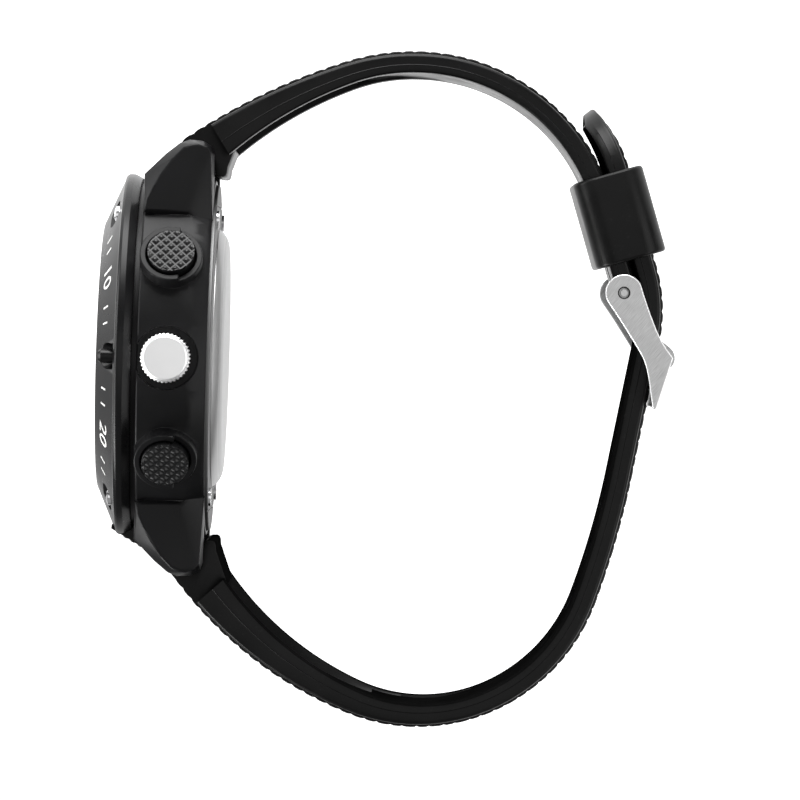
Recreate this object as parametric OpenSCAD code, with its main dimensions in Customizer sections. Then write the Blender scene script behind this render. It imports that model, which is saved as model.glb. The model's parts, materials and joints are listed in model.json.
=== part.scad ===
// Analog sports chronograph wristwatch with its strap closed on the buckle.
// Frame: origin at the centre of the caseback's outer face, -X out of the dial,
// +X into the wrist loop, +Y to 12 o'clock, +Z to 3 o'clock (crown side up).

/* [Case] */
// Diameter of the round case band
case_d = 43.6; // [42:0.1:46]
// Height of the top of the case band over the caseback face
band_top = 9.65; // [9.2:0.05:10.2]
// Height of the case's back face over the caseback face
case_back = 1.7; // [1.4:0.05:2]
// How deep the caseback's flange sits in the case's back face
back_recess = 0.4; // [0.3:0.05:0.6]
// Height where the band's lower bevel starts
band_bevel_z = 4.0; // [3:0.1:5]
// How far the lower bevel draws the band in
band_bevel = 0.7; // [0.3:0.05:1]
// How far the neck that carries the bezel stands in from the band
neck_step = 1.5; // [1.3:0.05:1.6]
// Height of the top of the neck
neck_top = 11.95; // [11.8:0.05:12.2]
// Thickness of the band round the movement cavity
band_wall = 5.1; // [4.9:0.05:5.4]
// Width of the ledge that carries the crystal's gasket
crystal_ledge = 0.55; // [0.4:0.05:0.8]

/* [Horns] */
// Distance between the inner faces of a pair of horns
lug_w = 20.4; // [18:0.1:22]
// Distance between the outer faces of a pair of horns
horn_w = 29.6; // [28:0.1:31]
// Width of the bevel along a horn's outer edge
horn_bevel = 1.6; // [0.8:0.1:2.2]
// Distance from the dial axis to the ledge at a horn's root
horn_root = 16.6; // [15.5:0.1:17]
// Distance from the dial axis to a horn's tip
horn_tip = 25.2; // [24:0.1:26.5]

/* [Bezel] */
// How far the bezel stands in from the band
bezel_inset = 0.45; // [0.3:0.05:0.7]
// Height of the bezel's lower edge
bezel_z = 10.3; // [10:0.05:10.6]
// Height of the bezel's rim
bezel_top = 14.6; // [14:0.1:15]
// Width of the bezel's slope
slope_w = 5.25; // [4.9:0.05:5.4]
// Height of the foot of the slope
slope_foot = 12.3; // [12.2:0.05:12.6]
// Width of the flat lip inside the slope
bezel_lip = 0.4; // [0.3:0.05:0.6]
// Distance of a bezel screw from the bezel's edge
bezel_screw_in = 2.45; // [2.2:0.05:2.7]
// Diameter of a bezel screw's head
bezel_screw_d = 2.0; // [1.6:0.1:2.4]
// Length of the recess round a bezel screw
bezel_slot_l = 4.0; // [3:0.1:5]
// Diameter of the stud at 3 and 9 o'clock
stud_d = 1.6; // [1.4:0.1:2]
// Length of the stud over the floor of its notch
stud_h = 1.75; // [1.2:0.05:1.9]

/* [Crystal and dial] */
// Thickness of the gasket round the crystal
crystal_gasket_t = 0.65; // [0.5:0.05:0.8]
// Thickness of the crystal
crystal_t = 2.3; // [1.6:0.1:2.4]
// Height of the seat under the crystal
crystal_seat = 11.4; // [11.2:0.05:11.6]
// Height of the dial's face
dial_z = 8.6; // [8.5:0.05:8.8]
// Thickness of the dial
dial_t = 0.4; // [0.3:0.05:0.5]
// Distance of a counter from the dial axis
counter_r = 7.0; // [6.5:0.1:7.4]
// Diameter of a counter
counter_d = 7.4; // [6.5:0.1:7.8]

/* [Hands and motion work] */
// Hour shown by the hands
show_hour = 10; // [0:1:11]
// Minute shown by the hands
show_minute = 9; // [0:1:59]
// Length of the hour hand
hour_len = 7.6; // [6:0.1:8.5]
// Length of the minute hand
minute_len = 11.2; // [10:0.1:12]
// Length of the sweep seconds hand
second_len = 11.9; // [11:0.1:12.2]
// Module of the motion work's teeth
gear_m = 0.13; // [0.11:0.01:0.14]
// Running clearance between the nested arbors
arbor_play = 0.06; // [0.03:0.01:0.08]

/* [Movement] */
// Thickness of the holder round the movement, with its clearances
holder_wall = 3.7; // [3.4:0.1:4]
// Height of the main plate's back face
plate_z = 4.9; // [4.7:0.05:5]
// Thickness of the main plate
plate_t = 2.1; // [2:0.05:2.2]
// Diameter of the battery
battery_d = 9.5; // [7.9:0.1:9.5]
// Thickness of the battery
battery_t = 2.1; // [1.6:0.1:2.1]

/* [Caseback] */
// How far the caseback's flange stands in from the band
back_inset = 1.5; // [1.4:0.05:1.7]
// Width of the flange round the raised centre
back_flange_w = 5.2; // [4.8:0.1:5.8]
// Height of the raised centre over the flange
back_step = 1.3; // [1.1:0.05:1.4]
// Radius of the rounded shoulder of the raised centre
back_shoulder = 2.65; // [2:0.05:3]
// Distance of a caseback screw from the flange's edge
back_screw_in = 1.35; // [1.3:0.05:1.4]
// Angle of a caseback screw from 12 o'clock
back_screw_angle = 32; // [30:1:38]
// Diameter of a caseback screw's head
back_screw_d = 2.1; // [1.8:0.1:2.2]

/* [Pushers and crown] */
// Height of the pushers' axes over the caseback face
pusher_z = 6.1; // [5.8:0.1:6.3]
// Diameter of a pusher
pusher_d = 5.4; // [5:0.1:6]
// How far a pusher's face stands out of the band
pusher_out = 2.2; // [2:0.1:2.8]
// Gap round a pusher in its collar
pusher_gap = 0.2; // [0.1:0.05:0.25]
// Travel of a pusher
pusher_travel = 1.0; // [0.6:0.1:1.1]
// Angle of the pushers from 3 o'clock
pusher_angle = 31; // [28:1:32]
// Outside diameter of a pusher's collar
collar_d = 7.2; // [7:0.1:7.4]
// How far the collar's high side stands out of the band
collar_out = 1.5; // [1.2:0.1:1.7]
// How much lower the collar's back side stands
collar_step = 0.6; // [0.3:0.1:0.8]
// Pitch of the pyramids on a pusher's face
knurl_pitch = 0.84; // [0.8:0.02:1]
// Height of the crown's axis over the caseback face
crown_z = 6.3; // [6.2:0.05:6.4]
// Diameter of the crown
crown_d = 5.8; // [5:0.1:6]
// How far the crown's face stands out of the band
crown_out = 2.6; // [2.2:0.1:3.2]
// Length of the crown
crown_l = 3.4; // [3:0.1:3.4]
// How far the crown pulls out
crown_pull = 1.0; // [0.5:0.1:1.2]
// Number of teeth round the crown
crown_teeth = 38; // [30:1:44]
// Diameter of the recess round the crown
crown_recess_d = 7.3; // [7:0.1:7.5]

/* [Strap] */
// Width of the strap behind the horns
strap_w = 24.6; // [23:0.1:26]
// Width of the strap at the buckle
strap_end_w = 17.8; // [16:0.1:18]
// Thickness of the strap away from the case, with its relief
strap_t = 2.6; // [2.3:0.05:2.65]
// Height of the raised panel over the side rails
relief = 0.4; // [0.3:0.05:0.5]
// Width of the side rail beside the raised panel
rail_w = 1.7; // [1.2:0.1:2.2]
// Pitch of the ribs on the raised panel
rib_pitch = 3.1; // [2.4:0.1:4]
// Extra thickness of the upper strap at the case
upper_swell = 2.5; // [2:0.1:2.8]
// Length over which the upper strap thins
upper_swell_l = 28; // [22:1:34]
// Extra thickness of the lower strap at the case
lower_swell = 2.4; // [2:0.1:2.6]
// Length over which the lower strap thins
lower_swell_l = 44; // [36:1:50]
// Depth of the channel under the strap at the case
channel_depth = 1.7; // [1.2:0.1:1.9]
// Pitch of the holes in the tail
hole_pitch = 6.5; // [6:0.1:8]
// Width of a hole in the tail
hole_w = 2.4; // [2.2:0.1:3]
// Length of a hole in the tail
hole_l = 3.0; // [2.4:0.1:3.4]
// Number of spare holes between the tongue and the case
hole_count = 6; // [3:1:7]

/* [Keeper] */
// Length of the keeper along the strap
keeper_l = 10.4; // [9:0.1:11]
// Wall of the keeper
keeper_t = 1.2; // [1:0.1:1.3]
// Clearance between the keeper and the straps in it
keeper_gap = 0.3; // [0.2:0.05:0.4]
// Distance from the buckle's pivot to the keeper's middle
keeper_at = 8.6; // [8.4:0.1:9]

/* [Buckle] */
// Radius of the buckle arm's head
arm_head_r = 2.15; // [1.9:0.05:2.3]
// Thickness of a buckle arm
arm_t = 1.2; // [1:0.1:1.4]
// Clearance between a buckle arm and the strap
arm_gap = 0.7; // [0.5:0.05:0.9]
// Diameter of the hole in the arm's head
arm_hole_d = 1.2; // [1:0.05:1.3]
// Width of the tongue
tongue_w = 1.7; // [1.4:0.1:1.8]
// Diameter of the spring bars
bar_d = 1.5; // [1.3:0.05:1.6]
// Diameter of the spring bars' tips
bar_tip_d = 0.8; // [0.7:0.05:0.9]

/* [Hidden] */
$fn = 64;
e = 0.01;
fit = 0.05;
resin = "#1b1b1d";
rubber = "#161616";
steel = "#b9bbbd";
bright = "#d8dadb";
brass = "#c9a554";

// Strap routes: length and turn in degrees of each stretch
upper_start = [-5.65, 25.19];
upper_heading = 36;
upper_run = [[21.3, -17], [11.1, -24.3], [28.1, -67.2], [10.56, 0]];
lower_start = [-5.05, -25.55];
lower_heading = -52.3;
lower_run = [[25.9, 31.7], [35.1, 91.7], [15.6, 8.9], [16, 0], [8.6, 27.5], [12, 0], [8.5, 22]];

case_r = case_d / 2;
neck_d = case_d - 2 * neck_step;
cavity_r = case_r - band_wall;
cavity_d = 2 * cavity_r;
bezel_r = case_r - bezel_inset;
rim_d = 2 * (bezel_r - 0.6 - slope_w);
bezel_bore_d = rim_d - 2 * bezel_lip;
bezel_screw_r = bezel_r - bezel_screw_in;
crystal_d = bezel_bore_d - 2 * crystal_gasket_t;
dial_opening_d = crystal_d - 2 * crystal_ledge;
plate_r = cavity_r - holder_wall;
plate_d = 2 * plate_r;
gasket_r = cavity_r + 0.95;
back_seat = case_back + back_recess;
back_flange_d = case_d - 2 * back_inset;
back_centre_d = back_flange_d - 2 * back_flange_w;
back_screw_r = back_flange_d / 2 - back_screw_in;
screw_seat = 0.35;
screw_head_z = back_seat - screw_seat - 0.73;
pusher_face = case_r + pusher_out;
collar_face = case_r + collar_out;
crown_face = case_r + crown_out;
pusher_floor = cavity_r + 2.0;
seal_seat = cavity_r + 0.6;
plate_top = plate_z + plate_t;
stem_end = plate_r - 5.6;
bar_z = 3.6;
bar_y = 23.75;
strap_gap = 0.22;
shoulder_s = 3.9;
wheel_z = plate_top + 0.15;
wheel_t = 0.3;
cannon_n = 10;
minute_n = 30;
pinion_n = 8;
hour_n = 32;
counter_n = 32;
gear_gap = gear_m * (cannon_n + minute_n) / 2;
minute_angle = 90 - 6 * show_minute;
hour_angle = 90 - 30 * show_hour - show_minute / 2;

// Places the head's own frame (z out of the dial, x to 3 o'clock) in the part's frame
module head() { rotate([0, -90, 0]) children(); }

// Places a piece on a radius of the dial, its z along the radius
module radial(angle, z) { translate([0, 0, z]) rotate([0, 0, angle]) rotate([0, 90, 0]) children(); }

// A solid of revolution from [radius, height] points
module revolve(points) { rotate_extrude() polygon(points); }

// A flat ring
module ring(r1, r2, z1, z2) {
    translate([0, 0, z1]) difference() {
        cylinder(r = r2, h = z2 - z1);
        translate([0, 0, -1]) cylinder(r = r1, h = z2 - z1 + 2);
    }
}

// A slot of width w and length l along y, with round ends
module slot(w, l, h) {
    for (s = [-1, 1]) translate([0, s * (l - w) / 2, 0]) cylinder(d = w, h = h);
    translate([-w / 2, -(l - w) / 2, 0]) cube([w, l - w, h]);
}

// State [x, y, heading] after a length s of a run of stretches
function walk(run, s, p, a, i = 0) =
    let (l = run[i][0], t = run[i][1], last = i == len(run) - 1, d = last ? s : min(s, l),
        b = a + t * d / l, r = t == 0 ? 0 : l * 180 / (t * PI),
        q = t == 0 ? p + d * [cos(a), sin(a)] : p + r * [sin(b) - sin(a), cos(a) - cos(b)])
    (s <= l || last) ? [q[0], q[1], b] : walk(run, s - l, q, b, i + 1);
function total(run, i = 0) = i == len(run) ? 0 : run[i][0] + total(run, i + 1);

upper_l = total(upper_run);
lower_l = total(lower_run);
function upper_at(s) = walk(upper_run, s, upper_start, upper_heading);
function lower_at(s) = walk(lower_run, s, lower_start, lower_heading);

// Point at a depth under the outer outline; side is 1 on the upper strap, -1 on the lower
function under(st, depth, side) = [st[0] + side * depth * sin(st[2]), st[1] - side * depth * cos(st[2])];
function upper_pt(s, depth) = under(upper_at(s), depth, 1);
function lower_pt(s, depth) = under(lower_at(s), depth, -1);
function swell(s, extra, l) = s < l ? extra * pow(1 - s / l, 2) : 0;
function upper_t(s) = strap_t + swell(s, upper_swell, upper_swell_l);
function lower_t(s) = strap_t + swell(s, lower_swell, lower_swell_l);

pivot_depth = 1.87;
pivot = upper_pt(upper_l, pivot_depth);
pivot_heading = upper_at(upper_l)[2];

// Half width of the strap at a place along X
strap_far_x = 46;
function half_w(x) = strap_w / 2 - (strap_w - strap_end_w) / 2 * (x + 3) / (strap_far_x + 3);

// The room that the strap's sides leave, drawn in by inset
module taper(inset) {
    x1 = -16;
    x2 = 60;
    translate([0, 60, 0]) rotate([90, 0, 0]) linear_extrude(120)
        polygon([[x1, -half_w(x1) + inset], [x2, -half_w(x2) + inset],
            [x2, half_w(x2) - inset], [x1, half_w(x1) - inset]]);
}

// A slab of thickness w about the middle plane, from an outline in X and Y
module slab(w, points) { translate([0, 0, -w / 2]) linear_extrude(w) polygon(points); }

// The case
horn_ridge = [[9.3, horn_root + 0.45], [9.05, 18.3], [8.3, 19.9], [6.3, 22.7], [5.0, horn_tip - 1.3],
    [4.2, horn_tip - 1.0], [3.9, horn_tip - 1.2], [5.8, horn_root + 0.5]];
horn_face = [[9.64, horn_root + 0.15], [9.45, 18.1], [8.8, 19.5], [7.7, 21.3], [6.4, 23.1],
    [5.2, horn_tip - 0.9], [4.3, horn_tip - 0.55], [3.5, horn_tip - 0.5], [2.6, horn_tip - 0.85],
    [2.05, horn_tip - 1.5], [4.15, horn_root + 0.6], [4.5, horn_root + 0.2]];
horn_base = [[9.7, horn_root], [9.7, 21.1], [8.9, 21.8], [7.3, 23.5], [5.7, horn_tip - 0.4],
    [4.6, horn_tip], [3.0, horn_tip - 0.1], [2.0, horn_tip - 0.7], [case_back, 23.6],
    [case_back, horn_root - 1.6], [2.9, horn_root - 1.4], [4.6, horn_root]];

// Stands an outline of [height, y] points as a sheet across x
module upright(points, x, t) {
    translate([x, 0, 0]) rotate([90, 0, 90]) linear_extrude(t) polygon([for (p = points) [p[1], p[0]]]);
}

module horn() {
    hull() {
        upright(horn_base, lug_w / 2, (horn_w - lug_w) / 2 - horn_bevel);
        upright(horn_face, horn_w / 2 - 0.15, e);
        upright(horn_ridge, horn_w / 2 - e, e);
    }
}

module collar(angle) {
    radial(angle, pusher_z) difference() {
        translate([0, 0, case_r - 3]) cylinder(d = collar_d, h = collar_face - case_r + 3);
        translate([pusher_d * 0.18, -5, collar_face - collar_step]) cube([10, 10, 10]);
    }
}

module pusher_bore(angle) {
    radial(angle, pusher_z) {
        translate([0, 0, pusher_floor]) cylinder(d = pusher_d + 2 * pusher_gap, h = 10);
        translate([0, 0, cavity_r - 6]) cylinder(d = 1.6, h = 10);
        translate([0, 0, seal_seat]) cylinder(d = 2.5, h = 0.8);
    }
}

module case_middle() color(resin) head() difference() {
    union() {
        revolve([[cavity_r - 3, case_back], [case_r - band_bevel - 0.25, case_back],
            [case_r - band_bevel, case_back + 0.5], [case_r, band_bevel_z], [case_r, band_top - 0.15],
            [case_r - 0.15, band_top], [neck_d / 2, band_top], [neck_d / 2, neck_top],
            [dial_opening_d / 2 - 1, neck_top], [dial_opening_d / 2 - 1, 9], [cavity_r - 3, 9]]);
        for (sx = [0, 1], sy = [0, 1]) mirror([sx, 0, 0]) mirror([0, sy, 0]) horn();
        for (s = [-1, 1]) collar(s * pusher_angle);
    }
    translate([0, 0, case_back - 1]) cylinder(d = cavity_d, h = dial_z - case_back + 1);
    cylinder(d = dial_opening_d, h = 20);
    translate([0, 0, crystal_seat]) cylinder(d = bezel_bore_d - 0.2, h = 5);
    translate([0, 0, back_seat - 5]) cylinder(d = back_flange_d + 0.1, h = 5);
    difference() {
        translate([0, 0, back_seat - 1]) cylinder(r = gasket_r + 0.45, h = 1.7);
        translate([0, 0, back_seat - 2]) cylinder(r = gasket_r - 0.45, h = 4);
    }
    for (s = [-1, 1]) pusher_bore(s * pusher_angle);
    radial(0, crown_z) {
        translate([0, 0, crown_face - crown_l - 0.4]) cylinder(d = crown_recess_d, h = 10);
        translate([0, 0, cavity_r - 6]) cylinder(d = 1.5, h = 11);
        translate([0, 0, seal_seat]) cylinder(d = 2.3, h = 1.1);
    }
    for (a = [0, 1], b = [0, 1]) mirror([a, 0, 0]) mirror([0, b, 0]) {
        rotate([0, 0, -back_screw_angle]) translate([0, back_screw_r, back_seat - 1])
            cylinder(d = 1.2 + 2 * fit, h = 3.4);
        rotate([0, 0, -30]) translate([0, bezel_screw_r, 8.9]) cylinder(d = 1.0 + 2 * fit, h = 5);
        translate([lug_w / 2 - 1, bar_y, bar_z]) rotate([0, 90, 0])
            cylinder(d = bar_tip_d + 2 * fit, h = 2.6);
    }
}

// The bezel and what is on it
function slope_z(r) = bezel_top - (bezel_top - slope_foot) * (r - rim_d / 2) / slope_w;

// Places a piece on the floor of a stud's notch, at 3 and 9 o'clock
stud_r = bezel_r - 2.75;
stud_floor = neck_top + 0.45;
stud_play = 0.7;
module stud_places() {
    for (s = [0, 1]) mirror([s, 0, 0]) translate([stud_r, 0, stud_floor]) children();
}

module bezel() color(resin) head() difference() {
    revolve([[bezel_bore_d / 2, neck_top + 0.05], [neck_d / 2 + 0.1, neck_top + 0.05],
        [neck_d / 2 + 0.1, bezel_z], [bezel_r - 0.5, bezel_z], [bezel_r, bezel_z + 0.95],
        [bezel_r, slope_foot - 0.4], [bezel_r - 0.2, slope_foot - 0.1], [bezel_r - 0.6, slope_foot],
        [rim_d / 2, bezel_top], [rim_d / 2 - 0.2, bezel_top], [bezel_bore_d / 2, bezel_top - 0.3]]);
    for (a = [0, 1], b = [0, 1]) mirror([a, 0, 0]) mirror([0, b, 0]) rotate([0, 0, -30]) {
        translate([0, bezel_screw_r, 0]) cylinder(d = 1.0 + 2 * fit, h = 20);
        translate([0, bezel_screw_r, neck_top + 0.45]) rotate([0, 0, 90])
            slot(bezel_screw_d + 0.3, bezel_slot_l, 3);
    }
    notch_w = stud_d + 2 * stud_play;
    stud_places() translate([1.1, 0, 0]) rotate([0, 0, 90]) slot(notch_w, notch_w + 2.2, 4);
    translate([-nose_w / 2 - 0.2, -bezel_r - 1, 9]) cube([nose_w + 0.4, 1 + nose_notch, 10]);
}

module bezel_screws() color(bright) head()
    for (a = [0, 1], b = [0, 1]) mirror([a, 0, 0]) mirror([0, b, 0]) rotate([0, 0, -30])
        translate([0, bezel_screw_r, 0]) difference() {
            union() {
                translate([0, 0, 9]) cylinder(d = 1.0, h = 3.6);
                translate([0, 0, neck_top + 0.5]) intersection() {
                    cylinder(d = bezel_screw_d, h = 1);
                    translate([0, 0, -1.1]) sphere(r = 1.9);
                }
            }
            translate([-2, -0.17, neck_top + 0.95]) cube([4, 0.34, 1]);
        }

module bezel_studs() color(resin) head() stud_places() translate([0, 0, 0.03]) {
    cylinder(d = stud_d, h = stud_h - 0.3);
    translate([0, 0, stud_h - 0.3]) cylinder(d1 = stud_d, d2 = stud_d - 0.5, h = 0.3);
}

// Crystal, dial and what shows through it
module crystal() color("#dfe9ee", 0.35) head() translate([0, 0, crystal_seat + 0.2])
    revolve([[0, 0], [crystal_d / 2, 0], [crystal_d / 2, crystal_t - 0.3],
        [crystal_d / 2 - 0.3, crystal_t], [0, crystal_t]]);

module crystal_gasket() color(rubber) head() {
    revolve([[dial_opening_d / 2 + 0.1, crystal_seat], [bezel_bore_d / 2 - 0.15, crystal_seat],
        [bezel_bore_d / 2 - 0.15, crystal_seat + 2.2], [crystal_d / 2 + 0.03, crystal_seat + 2.2],
        [crystal_d / 2 + 0.03, crystal_seat + 0.18], [dial_opening_d / 2 + 0.1, crystal_seat + 0.18]]);
}

module chapter_ring() color(resin) head()
    revolve([[dial_opening_d / 2 - 1.2, dial_z + 0.02], [dial_opening_d / 2 - 0.04, dial_z + 0.02],
        [dial_opening_d / 2 - 0.04, crystal_seat], [dial_opening_d / 2 - 0.4, crystal_seat]]);

counter_place = [[0, -counter_r], [-counter_r, 0]];

module dial() color("#101214") head() difference() {
    translate([0, 0, dial_z - dial_t]) cylinder(d = cavity_d - 0.6, h = dial_t);
    translate([0, 0, dial_z - 1]) cylinder(d = 2.3, h = 2);
    for (p = counter_place) translate([p[0], p[1], 0]) {
        translate([0, 0, dial_z - 0.12]) cylinder(d = counter_d, h = 1);
        translate([0, 0, dial_z - 1]) cylinder(d = 0.9, h = 2);
    }
}

module hour_markers() color(bright) head() for (h = [0:11])
    rotate([0, 0, -30 * h]) translate([0, dial_opening_d / 2 - 2.6, dial_z]) {
        w = h == 0 ? 1.3 : 0.7;
        l = (h == 6 || h == 9) ? 1.1 : 2.3;
        intersection() {
            translate([-w / 2, -l / 2 + (2.3 - l) / 2, 0]) cube([w, l, 0.45]);
            translate([0, 3, -1.3]) rotate([90, 0, 0]) cylinder(r = 1.8, h = 6);
        }
    }

// The movement
battery_at = [2.0, 6.6];
motor_y = -1.6;
module movement_holder() color("#3a3a3c") head() difference() {
    ring(plate_d / 2 + 0.1, cavity_r - 0.15, back_seat + 0.35, dial_z - dial_t);
    for (a = [-pusher_angle, 0, pusher_angle])
        radial(a, a == 0 ? crown_z : pusher_z) translate([0, 0, plate_r - 4]) cylinder(d = 2.0, h = 10);
}

module main_plate() color("#a8a08a") head() difference() {
    union() {
        translate([0, 0, plate_z]) cylinder(d = plate_d, h = plate_t);
        translate([-gear_gap, 0, plate_top - e]) cylinder(d = 0.5, h = 1.05);
    }
    translate([0, 0, plate_z - 1]) cylinder(r = 0.36 + arbor_play, h = 5);
    for (p = counter_place) translate([p[0], p[1], plate_z + 0.8]) cylinder(d = 0.62, h = 3);
    radial(0, crown_z) {
        translate([0, 0, stem_end - 0.2]) cylinder(d = 1.3, h = 10);
        translate([-1.1, -1.1, stem_end + 1.2]) cube([2.2, 2.2, 1.9 + crown_pull]);
    }
    for (a = [45, 135, 225, 315]) rotate([0, 0, a]) translate([plate_d / 2 - 1.6, 0, plate_z - 1])
        cylinder(d = 0.9, h = 2.4);
    for (s = [-1, 1]) radial(s * pusher_angle, pusher_z)
        translate([0, 0, plate_d / 2 - 0.6]) cylinder(d = 2.0, h = 4);
}

module circuit_board() color("#2f5a3a") head() translate([0, 0, plate_z - 0.35]) difference() {
    cylinder(d = plate_d - 0.6, h = 0.3);
    translate([battery_at[0], battery_at[1], -1]) cylinder(d = battery_d + 0.6, h = 3);
    for (a = [45, 135, 225, 315]) rotate([0, 0, a]) translate([plate_d / 2 - 1.6, 0, -1])
        cylinder(d = 1.1, h = 3);
}

module train_bridge() color("#c8c3b4") head() translate([0, 0, plate_z - 0.4 - 1.5]) intersection() {
    difference() {
        translate([-7.6, -6.9, 0]) cube([9.2, 5.5, 1.5]);
        translate([-3, -5, -1]) cylinder(d = 1.0, h = 2);
    }
    translate([0, 0, -1]) cylinder(d = plate_d - 2.6, h = 4);
}

module movement_screws() color(bright) head() for (a = [45, 135, 225, 315])
    rotate([0, 0, a]) translate([plate_d / 2 - 1.6, 0, plate_z - 0.95]) difference() {
        union() {
            cylinder(d = 1.7, h = 0.55);
            cylinder(d = 0.8, h = 2.2);
        }
        translate([-1, -0.12, -1]) cube([2, 0.24, 1.2]);
    }

module battery() color(steel) head() translate([battery_at[0], battery_at[1], plate_z - 0.05 - battery_t])
    revolve([[0, 0], [battery_d / 2 - 0.15, 0], [battery_d / 2, 0.15], [battery_d / 2, battery_t - 0.5],
        [battery_d / 2 - 0.5, battery_t - 0.4], [battery_d / 2 - 0.5, battery_t], [0, battery_t]]);

module battery_clip() color(bright) head() translate([battery_at[0], battery_at[1], plate_z - 0.3])
    rotate([0, 0, 35]) translate([-0.8, -battery_d / 2 - 1.1, -battery_t]) {
        cube([1.6, battery_d + 1.3, 0.2]);
        cube([1.6, 0.6, battery_t - 0.15]);
    }

module motor_coil() color("#8a4a2a") head() translate([-8.6, motor_y + 1.2, plate_z - 0.4 - 0.95])
    rotate([-90, 0, 0]) difference() {
        cylinder(d = 1.8, h = 6.4);
        translate([0, 0, -1]) cylinder(d = 0.7, h = 9);
    }

module motor_stator() color(steel) head() translate([-8.6, motor_y, plate_z - 0.4 - 0.95]) {
    translate([0, 0.4, 0]) rotate([-90, 0, 0]) cylinder(d = 0.6, h = 8);
    for (y = [0.2, 7.8]) translate([-0.9, y, -0.5]) cube([1.8, 0.8, 1.4]);
}

// The caseback
module back_screw_places() {
    for (a = [0, 1], b = [0, 1]) mirror([a, 0, 0]) mirror([0, b, 0])
        rotate([0, 0, -back_screw_angle]) translate([0, back_screw_r, 0]) children();
}

module caseback() color(steel) head() difference() {
    r = back_centre_d / 2;
    union() {
        revolve(concat([[0, 0]], [for (a = [0:7:56]) [r - back_shoulder * (sin(56) - sin(a)),
            back_shoulder * (1 - cos(a))]], [[r, back_step], [back_flange_d / 2 - 0.1, back_step],
            [back_flange_d / 2, back_step + 0.1], [back_flange_d / 2, back_seat - 0.03],
            [0, back_seat - 0.03]]));
        ring(cavity_r - 1.3, cavity_r - 0.3, back_seat - 0.1, back_seat + 0.3);
    }
    translate([0, 0, 0.8]) cylinder(r = r - 1.6, h = 4);
    back_screw_places() {
        translate([0, 0, -1]) cylinder(d = back_screw_d + 0.2, h = back_seat - screw_seat + 1);
        cylinder(d = 1.2 + 2 * fit, h = 4);
    }
}

module caseback_gasket() color(rubber) head() translate([0, 0, back_seat + 0.36])
    rotate_extrude() translate([gasket_r, 0]) circle(r = 0.33, $fn = 24);

module caseback_screws() color(bright) head() back_screw_places() difference() {
    union() {
        translate([0, 0, screw_head_z]) cylinder(d = back_screw_d, h = 0.72);
        translate([0, 0, back_seat - 0.4]) cylinder(d = 1.2, h = 2.3);
    }
    for (a = [0, 90]) rotate([0, 0, a]) translate([-0.6, -0.15, screw_head_z - 1]) cube([1.2, 0.3, 1.33]);
}

// Spring bars
module spring_bar(width, tip) {
    translate([0, 0, -width / 2 + 0.15]) cylinder(d = bar_d, h = width - 0.3);
    translate([0, 0, -width / 2 - tip]) cylinder(d = bar_tip_d, h = width + 2 * tip);
    for (s = [-1, 1]) translate([0, 0, s * (width / 2 - 1.2) - 0.15]) cylinder(d = bar_d + 0.2, h = 0.3);
}
bar_bore_d = bar_d + 0.3;

module lug_spring_bars() color(steel) for (s = [-1, 1])
    translate([-bar_z, s * bar_y, 0]) spring_bar(lug_w, 1.4);

module buckle_spring_bar() color(steel) translate([pivot[0], pivot[1], 0])
    spring_bar(strap_end_w + 2 * arm_gap, arm_t - 0.2);

// Straps
function ribs(l1, l2) = [for (s = [l1:rib_pitch:l2 - rib_pitch], k = [[0, 0.22], [0.22, 0], [0.78, 0]])
    [s + k[0] * rib_pitch, k[1]]];

module bar_hole(side) {
    translate([-bar_z, side * bar_y, -20]) cylinder(d = bar_bore_d, h = 40);
}

// Full-width rails, raised ribbed panel and channel of the buckle-side strap
module strap_upper() color(rubber) difference() {
    last = upper_l;
    steps = [for (s = [shoulder_s:2:last - 0.5]) s];
    union() {
        intersection() {
            slab(60, concat([for (s = steps) upper_pt(s, relief)], [upper_pt(last, relief)],
                [upper_pt(last, strap_t)],
                [for (i = [len(steps) - 1:-1:0]) upper_pt(steps[i], upper_t(steps[i]))]));
            taper(0);
        }
        intersection() {
            slab(60, concat([for (r = ribs(0.6, last - 1)) upper_pt(r[0], r[1])],
                [for (s = [last - 3:-2:shoulder_s + 1]) upper_pt(s, relief + 0.6)],
                [upper_pt(shoulder_s, 2.6)], [upper_pt(0.6, 1.6)]));
            taper(rail_w);
            translate([-50, -100, -lug_w / 2 + strap_gap]) cube([120, 200, lug_w - 2 * strap_gap]);
        }
        slab(lug_w - 2 * strap_gap, concat([upper_pt(0.3, relief)], [upper_pt(shoulder_s + 0.6, relief)],
            [upper_pt(shoulder_s + 0.6, upper_t(shoulder_s) - 0.2)], strap_root(1)));
        translate([pivot[0], pivot[1], -strap_end_w / 2]) cylinder(r = pivot_depth - relief, h = strap_end_w);
    }
    bar_hole(1);
    translate([pivot[0], pivot[1], -20]) cylinder(d = bar_bore_d, h = 40);
    translate([pivot[0] - 4, pivot[1] - 4, -tongue_w / 2 - 0.4]) cube([8, 6.2, tongue_w + 0.8]);
    channel(1);
}

// The strap's end between the horns, with its foot on the caseback's edge
function strap_root(side) = [for (p = [[0.15, 23.3], [-0.2, 22.3], [-0.55, 21.15], [-1.6, 21.2],
    [-1.75, case_r + 0.35], [-5.6, case_r + 0.35], [-6.1, 24.3]]) [p[0], side * p[1]]];

// The channel under a strap, between its side walls
module channel(side) {
    l1 = 8;
    l2 = side > 0 ? upper_swell_l + 6 : lower_swell_l + 2;
    pts = [for (s = [l1:3:l2]) s];
    function at(s, d) = side > 0 ? upper_pt(s, upper_t(s) + d) : lower_pt(s, lower_t(s) + d);
    intersection() {
        slab(60, concat([for (s = pts) at(s, 1)],
            [for (i = [len(pts) - 1:-1:0]) at(pts[i], -channel_depth * (l2 - pts[i]) / (l2 - l1))]));
        taper(2.6);
    }
}

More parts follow.
